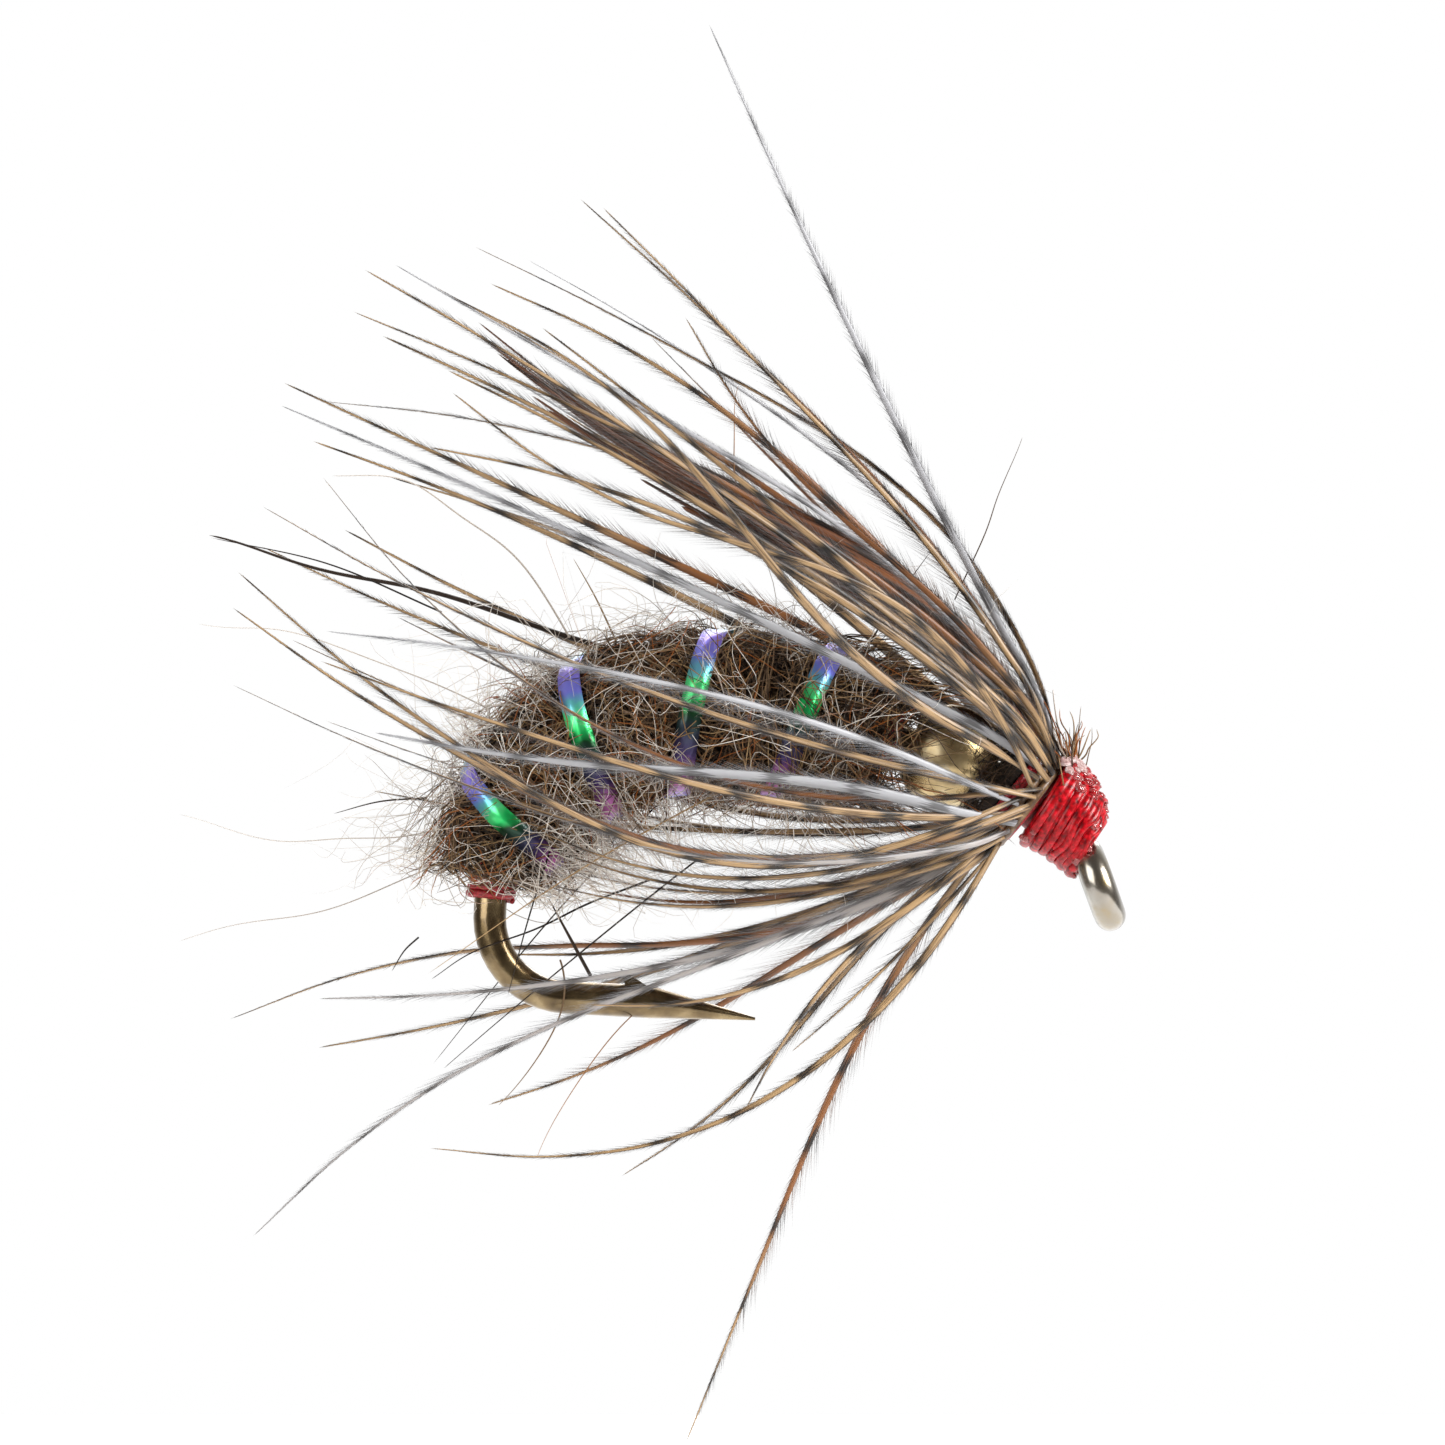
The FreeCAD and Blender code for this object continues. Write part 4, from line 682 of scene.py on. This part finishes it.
# the stem the barbs grew on, wound twice behind the head: bare horny quill
quill, tree, shader = new_material("bare feather quill")
place = add(tree, "ShaderNodeTexCoord").outputs["Object"]
streak = add(tree, "ShaderNodeTexNoise", [("Vector", place)], Scale=9000.0, Detail=3.0)
shade = ramp(tree, streak.outputs["Fac"], [(0.3, "#3E2A1A"), (0.55, "#6E5236"), (0.75, "#9A7C56")])
tree.links.new(shade.outputs["Color"], shader.inputs["Base Color"])
shader.inputs["Roughness"].default_value = 0.4
dress("hackle_stem", quill)


# ---------------------------------------------------------------------------------------------
# Head. Red tying thread built up into a cone behind the eye, wound in three crossing layers and
# tied off with a whip finish. Its turns lean back at the top.
HEAD_BACK, HEAD_FRONT, HEAD_LEAN = 1.152, 0.06, 0.193


def on_head(share, clock, lift=0.0):
    """Points on the leaning cone, at a share of its length from the back and a clock round it.
    Height out is the ring's lift off the wire + radius cos c, depth is radius sin c, and the
    station is the ring's own + 0.193 times the height, so the turns lean back at the top."""
    share, clock = np.asarray(share, float), np.asarray(clock, float)
    along = [0, 0.5, 0.85, 1.0]
    radius = np.interp(share, along, [0.85, 0.76, 0.67, 0.555]) + lift
    height = np.interp(share, along, [0.25, 0.30, 0.22, 0.105]) + radius * np.cos(clock)
    station = HEAD_BACK + (HEAD_FRONT - HEAD_BACK) * share + height * HEAD_LEAN
    middle, _, out = wire_at(station)
    return middle + out * height[..., None] + ACROSS * (radius * np.sin(clock))[..., None]


def head_layer(name, turns, start, lift, thick, seed, replaces=()):
    """One layer of wound thread: on_head at share u from back to front and clock 2 pi turns u,
    with a small seeded wander in u."""
    rng = np.random.default_rng(seed)
    u = np.linspace(0, 1, int(turns * 40))
    wander = sum(rng.uniform(0.1, 0.4) * np.sin(u * k + rng.uniform(0, 7)) for k in (31, 67, 113)) / turns / 3
    share = np.clip(start + (1 - start) * u + wander * 0.8, 0, 1)
    line = on_head(share, 2 * np.pi * turns * u, lift)[None]
    centre = on_head(share, 2 * np.pi * turns * u, -0.4)[None]
    size = np.full(line.shape[:2], thick)
    points, triangles, _, share, across = strands(line, size * 0.5, size, unit(line - centre), sides=8, pointed=False)
    uv = np.stack([share * turns % 1 * 0.9 + 0.05, 0.5 + 0.3 * across], -1)
    return piece(name, points, triangles, glazed_thread, None, replaces)


# thread soaked in varnish: deep saturated red, wet-looking, with painted shade making it darker between filaments,
# where the bump dips
glazed_thread, tree, shader = new_material("varnish-soaked red thread")
place = add(tree, "ShaderNodeTexCoord").outputs["Object"]
filaments = add(tree, "ShaderNodeTexNoise", [("Vector", place)], Scale=11000.0, Detail=3.0)
# painted shade: the red darkens where the filament bump dips; the rest of its spread is the dye's own variation
dye_and_filament_shade = ramp(tree, filaments.outputs["Fac"], [(0.30, "#4E0006"), (0.50, "#97040D"), (0.72, "#CC1424")])
tree.links.new(dye_and_filament_shade.outputs["Color"], shader.inputs["Base Color"])
shader.inputs["Roughness"].default_value = 0.32
shader.inputs["Coat Weight"].default_value = 0.12
shader.inputs["Specular IOR Level"].default_value = 0.2
bump = add(tree, "ShaderNodeBump", [("Height", filaments)], Strength=0.4, Distance=0.00002)
tree.links.new(bump.outputs["Normal"], shader.inputs["Normal"])
head_layer("head_thread_under", 8, 0.0, -0.05, 0.090, 41, ("head_thread",))
head_layer("head_thread_over", 6.5, 0.03, 0.0, 0.085, 42)
head_layer("head_whip_finish", 3, 0.50, 0.03, 0.075, 43)


# ---------------------------------------------------------------------------------------------
# Varnish. Clear head cement that soaked into the thread. It stands as drops along the front and
# beside the eye, and as a dried, bloomed crust where the wing's cut ends leave the head.
def cement_drops(name, seed, places, width, height, material, replaces=()):
    """Closed lumps. Each is an ellipsoid, width across and height out of the head, at a place
    (share, clock), its radius times 1 + a sum of seeded waves in its own two angles."""
    rng = np.random.default_rng(seed)
    n, rows, sides = len(places), 15, 24
    share, clock = np.array(places, float).T
    centre = on_head(share, clock, 0.02)
    outward = unit(on_head(share, clock, 0.3) - centre)
    across = unit(np.cross(outward, ACROSS + [[0.3, 0, 0.1]]))
    beside = np.cross(outward, across)
    up = (np.arange(1, rows + 1) * np.pi / (rows + 1))[None, :, None]
    turn = (np.arange(sides) * 2 * np.pi / sides)[None, None]
    swell = np.ones((n, rows, sides))
    for k, m in ((2, 1), (3, 2), (1, 2), (5, 3)):
        phase = rng.uniform(0, 6.28, (n, 1, 1))
        swell += 0.10 * np.sin(k * turn + phase) * np.sin(m * up + phase) * np.sin(up)
    big = rng.uniform(0.7, 1.3, (n, 1, 1))
    flat = (swell * np.sin(up) * width * big)[..., None]
    tall = (swell * np.cos(up) * height * big)[..., None]
    turn = turn[..., None]
    frame3 = [v[:, None, None] for v in (centre, across, beside, outward)]
    ring = frame3[0] + flat * (np.cos(turn) * frame3[1] + np.sin(turn) * frame3[2]) + tall * frame3[3]
    poles = np.stack([centre + outward * height * big[:, 0], centre - outward * height * big[:, 0]], 1)
    points = np.concatenate([ring.reshape(n, -1, 3), poles], 1)
    j, k = np.meshgrid(np.arange(rows - 1), np.arange(sides), indexing="ij")
    a, b = (j * sides + k).ravel(), (j * sides + (k + 1) % sides).ravel()
    last, around, count = (rows - 1) * sides, np.arange(sides), rows * sides
    faces = np.concatenate([
        np.stack([a, a + sides, b], 1), np.stack([b, a + sides, b + sides], 1),
        np.stack([np.full(sides, count), around, (around + 1) % sides], 1),
        np.stack([np.full(sides, count + 1), last + (around + 1) % sides, last + around], 1),
    ])
    faces = (faces[None] + np.arange(n)[:, None, None] * (count + 2)).reshape(-1, 3)
    return piece(name, points.reshape(-1, 3), faces, material, None, replaces)


# clear cement: glassy, faintly pink from the thread under it
head_cement, tree, shader = new_material("clear head cement")
place = add(tree, "ShaderNodeTexCoord").outputs["Object"]
haze = add(tree, "ShaderNodeTexNoise", [("Vector", place)], Scale=6000.0, Detail=2.0)
tint = ramp(tree, haze.outputs["Fac"], [(0.35, "#C8343A"), (0.7, "#E88C8A")])
tree.links.new(tint.outputs["Color"], shader.inputs["Base Color"])
shader.inputs["Transmission Weight"].default_value = 0.7
shader.inputs["Roughness"].default_value = 0.08
bump = add(tree, "ShaderNodeBump", [("Height", haze)], Strength=0.2, Distance=0.00002)
tree.links.new(bump.outputs["Normal"], shader.inputs["Normal"])

# the crust: the same cement dried thin and bloomed, milky pink and grainy
dried_cement, tree, shader = new_material("bloomed dried head cement")
place = add(tree, "ShaderNodeTexCoord").outputs["Object"]
bloom = add(tree, "ShaderNodeTexNoise", [("Vector", place)], Scale=14000.0, Detail=4.0)
milk = ramp(tree, bloom.outputs["Fac"], [(0.32, "#8E5A56"), (0.5, "#CFA8A4"), (0.7, "#F1E4E1")])
tree.links.new(milk.outputs["Color"], shader.inputs["Base Color"])
shader.inputs["Transmission Weight"].default_value = 0.35
shader.inputs["Roughness"].default_value = 0.3
bump = add(tree, "ShaderNodeBump", [("Height", bloom)], Strength=0.8, Distance=0.00004)
tree.links.new(bump.outputs["Normal"], shader.inputs["Normal"])

rng = np.random.default_rng(44)
drops = np.stack([rng.uniform(0.25, 1.0, 34), rng.uniform(-1.5, 1.2, 34)], 1)
cement_drops("head_cement_drops", 45, drops, 0.075, 0.05, head_cement, ("head_varnish",))
crust = np.stack([rng.uniform(0.0, 0.34, 40), rng.normal(-0.1, 0.32, 40)], 1)
cement_drops("head_cement_crust", 46, crust, 0.085, 0.055, dried_cement)
cement_drops("head_cement_skirt", 47, [(0.05, -2.6), (0.12, -2.3), (0.95, -2.2), (1.0, -1.6), (0.98, -2.8)], 0.09, 0.05, head_cement)


# ---------------------------------------------------------------------------------------------
# Wing butts. The cut ends of the wing barbs, left sticking up out of the head as a short bristle
# tuft, with crumbs of varnish holding them.
def hairs(name, seed, roots, tips, thick, shades, bow, material, replaces=(), steps=20, wave=0.05):
    """Single hairs. Each follows the quadratic curve root, middle + bow, tip, swayed by a seeded
    sine, with a radius thick (1 - 0.7 t^2)."""
    rng = np.random.default_rng(seed)
    roots, tips, bow = (np.asarray(v, float)[:, None] for v in (roots, tips, bow))
    t = np.linspace(0, 1, steps)[None, :, None]
    middle = (roots + tips) / 2 + bow
    lines = (1 - t) ** 2 * roots + 2 * t * (1 - t) * middle + t**2 * tips
    count = len(roots)
    aim = unit(rng.normal(size=(count, 1, 3)))
    lines = lines + aim * wave * np.sin(t * rng.uniform(4, 14, (count, 1, 1)) + rng.uniform(0, 6, (count, 1, 1))) * t
    taper = np.asarray(thick, float)[:, None] / 2 * (1 - 0.7 * t[..., 0] ** 2)
    points, triangles, line, share, across = strands(lines, taper, taper, unit(rng.normal(size=(count, 1, 3))), sides=5)
    shade = np.asarray(shades, float)[line] + 0.004 * across
    return piece(name, points, triangles, material, np.stack([shade, share], -1), replaces)


rng = np.random.default_rng(51)
BRISTLES = 46
clock = rng.normal(0.1, 0.5, BRISTLES)
roots = on_head(rng.uniform(0.0, 0.38, BRISTLES), clock, -0.1)
tips = roots + np.stack([rng.normal(-0.12, 0.22, BRISTLES), rng.normal(0, 0.25, BRISTLES), rng.uniform(0.45, 0.95, BRISTLES)], -1)
tips[:3] = roots[:3] + [[-0.55, 0.1, 1.35], [0.15, -0.1, 1.0], [-0.2, 0.3, 1.2]]
hairs("wing_butt_bristles", 52, roots, tips, rng.uniform(0.022, 0.042, BRISTLES), rng.choice([0.2, 0.4, 0.5, 0.64, 0.76], BRISTLES),
      rng.normal(0, 0.08, (BRISTLES, 3)), loose_fur, ("wing_butts",))


# ---------------------------------------------------------------------------------------------
# Guard hairs. The long stiff hairs of the mask, black or brown, and stray fine ones, standing
# out of the wound fur. Each keeps its root in the fur.
def place_of(x, z, y=0.0):
    return (x, y, z)


guard_lines, guard_widths = barb_lines("guard_hairs", 26)
guard_width = np.clip(guard_widths.mean(1) * 0.55, 0.03, 0.07)
guard_taper = guard_width[:, None] / 2 * (1 - 0.75 * np.linspace(0, 1, 26)[None] ** 2)
points, triangles, line, share, across = strands(guard_lines, guard_taper, guard_taper, ACROSS, sides=6)
shade = np.array([0.03, 0.15, 0.06, 0.55, 0.1])[line % 5] + 0.004 * across
piece("guard_hair_shafts", points, triangles, loose_fur, np.stack([shade, share], -1), ("guard_hairs",))

STRAYS = (  # root x, z, tip x, z, depth, bow x, z, width, shade
    (-5.76, 3.15, -15.15, 5.86, 0.3, -0.5, 0.5, 0.105, 0.10),
    (-7.60, 0.10, -11.40, -1.56, -0.6, 0.0, 0.1, 0.040, 0.04),
    (-6.80, 0.45, -11.20, -3.18, -0.8, 0.2, 0.3, 0.035, 0.06),
    (-9.00, 4.20, -12.99, 7.05, 0.5, 0.6, 1.2, 0.035, 0.84),
    (-10.4, 3.00, -15.37, 4.50, 0.2, -0.2, 0.6, 0.025, 0.86),
    (-10.9, 0.50, -15.62, -0.94, -0.3, 0.3, -0.3, 0.022, 0.80),
    (-11.1, 1.00, -15.62, 1.10, 0.3, 0.5, -0.6, 0.022, 0.86),
    (-2.45, 4.85, -1.38, 7.51, -0.5, 0.1, 0.0, 0.025, 0.30),
    (-5.93, 5.87, -6.10, 8.50, 0.4, -0.4, 0.1, 0.025, 0.60),
    (-9.16, -1.28, -10.2, -3.71, -0.7, 0.9, 0.2, 0.035, 0.45),
    (-7.80, -2.10, -9.45, -4.59, -0.9, -0.3, 0.3, 0.022, 0.60),
)
stray = np.array(STRAYS)
still = np.zeros(len(stray))
hairs("stray_hairs", 53, np.stack([stray[:, 0], still, stray[:, 1]], -1), np.stack([stray[:, 2], stray[:, 4], stray[:, 3]], -1),
      stray[:, 7], stray[:, 8], np.stack([stray[:, 5], stray[:, 4] / 2, stray[:, 6]], -1), loose_fur, steps=60, wave=0.12)


# ---------------------------------------------------------------------------------------------
# Studio. A pale floor under the lowest fibre tip, a white room, and soft lights.
floor_mesh = bpy.data.meshes.new("studio_floor")
half, floor_z = 0.03, (cad_low.z - 0.0008)
floor_mesh.from_pydata(
    [(-half, -half, floor_z), (half, -half, floor_z), (half, half, floor_z), (-half, half, floor_z)],
    [], [(0, 1, 2, 3)],
)
floor = bpy.data.objects.new("studio_floor", floor_mesh)
bpy.context.scene.collection.objects.link(floor)
paper, tree, shader = new_material("white card")
shader.inputs["Base Color"].default_value = linear("#FAFAFA")
shader.inputs["Roughness"].default_value = 0.9
floor_mesh.materials.append(paper)

camera = bpy.data.objects.new("camera", bpy.data.cameras.new("camera"))
camera.data.lens, camera.data.sensor_width = 400.0, 36.0
FRAME_WIDTH, FRAME_X, FRAME_Z = 24.57, -6.40, 2.76
camera.location = (FRAME_X * MM, -FRAME_WIDTH * MM * camera.data.lens / camera.data.sensor_width, FRAME_Z * MM)
camera.rotation_euler = (np.radians(90), 0, 0)
camera.data.clip_start, camera.data.clip_end = 0.001, 10.0
bpy.context.scene.collection.objects.link(camera)
bpy.context.scene.camera = camera


def soft_light(name, place, size, power, colour="#FFFFFF"):
    """A square area light at a place in mm, turned to the fly's middle."""
    lamp = bpy.data.objects.new(name, bpy.data.lights.new(name, "AREA"))
    lamp.data.size, lamp.data.energy, lamp.data.color = size * MM, power, linear(colour)[:3]
    lamp.location = [v * MM for v in place]
    aim = np.array([-6.0, 0.0, 2.0]) - np.array(place, float)
    flat = np.hypot(aim[0], aim[1])
    lamp.rotation_euler = (np.arctan2(flat, -aim[2]), 0, np.arctan2(aim[0], -aim[1]) + np.pi)
    bpy.context.scene.collection.objects.link(lamp)


soft_light("key", (85, -42, 52), 50, 0.20)
soft_light("fill", (-80, -70, 30), 80, 0.08)
soft_light("back", (-10, 90, 70), 90, 0.12)

world = bpy.data.worlds.new("white room")
bpy.context.scene.world = world
world.use_nodes = True
tree = world.node_tree
room = tree.nodes["Background"]
direction = add(tree, "ShaderNodeTexCoord").outputs["Generated"]
height = add(tree, "ShaderNodeSeparateXYZ", [("Vector", direction)])
tone = ramp(tree, height.outputs["Y"], [(0.0, "#6E6A66"), (0.35, "#9A9692"), (0.75, "#F4F4F4"), (1.0, "#FFFFFF")])
tree.links.new(tone.outputs["Color"], room.inputs["Color"])
seen = add(tree, "ShaderNodeBackground", Color=(1, 1, 1, 1), Strength=1.0)
path = add(tree, "ShaderNodeLightPath")
mix = add(tree, "ShaderNodeMixShader", [("Fac", path.outputs["Is Camera Ray"]), (1, room), (2, seen)])
tree.links.new(mix.outputs["Shader"], tree.nodes["World Output"].inputs["Surface"])
bpy.context.scene.view_settings.view_transform = "Standard"
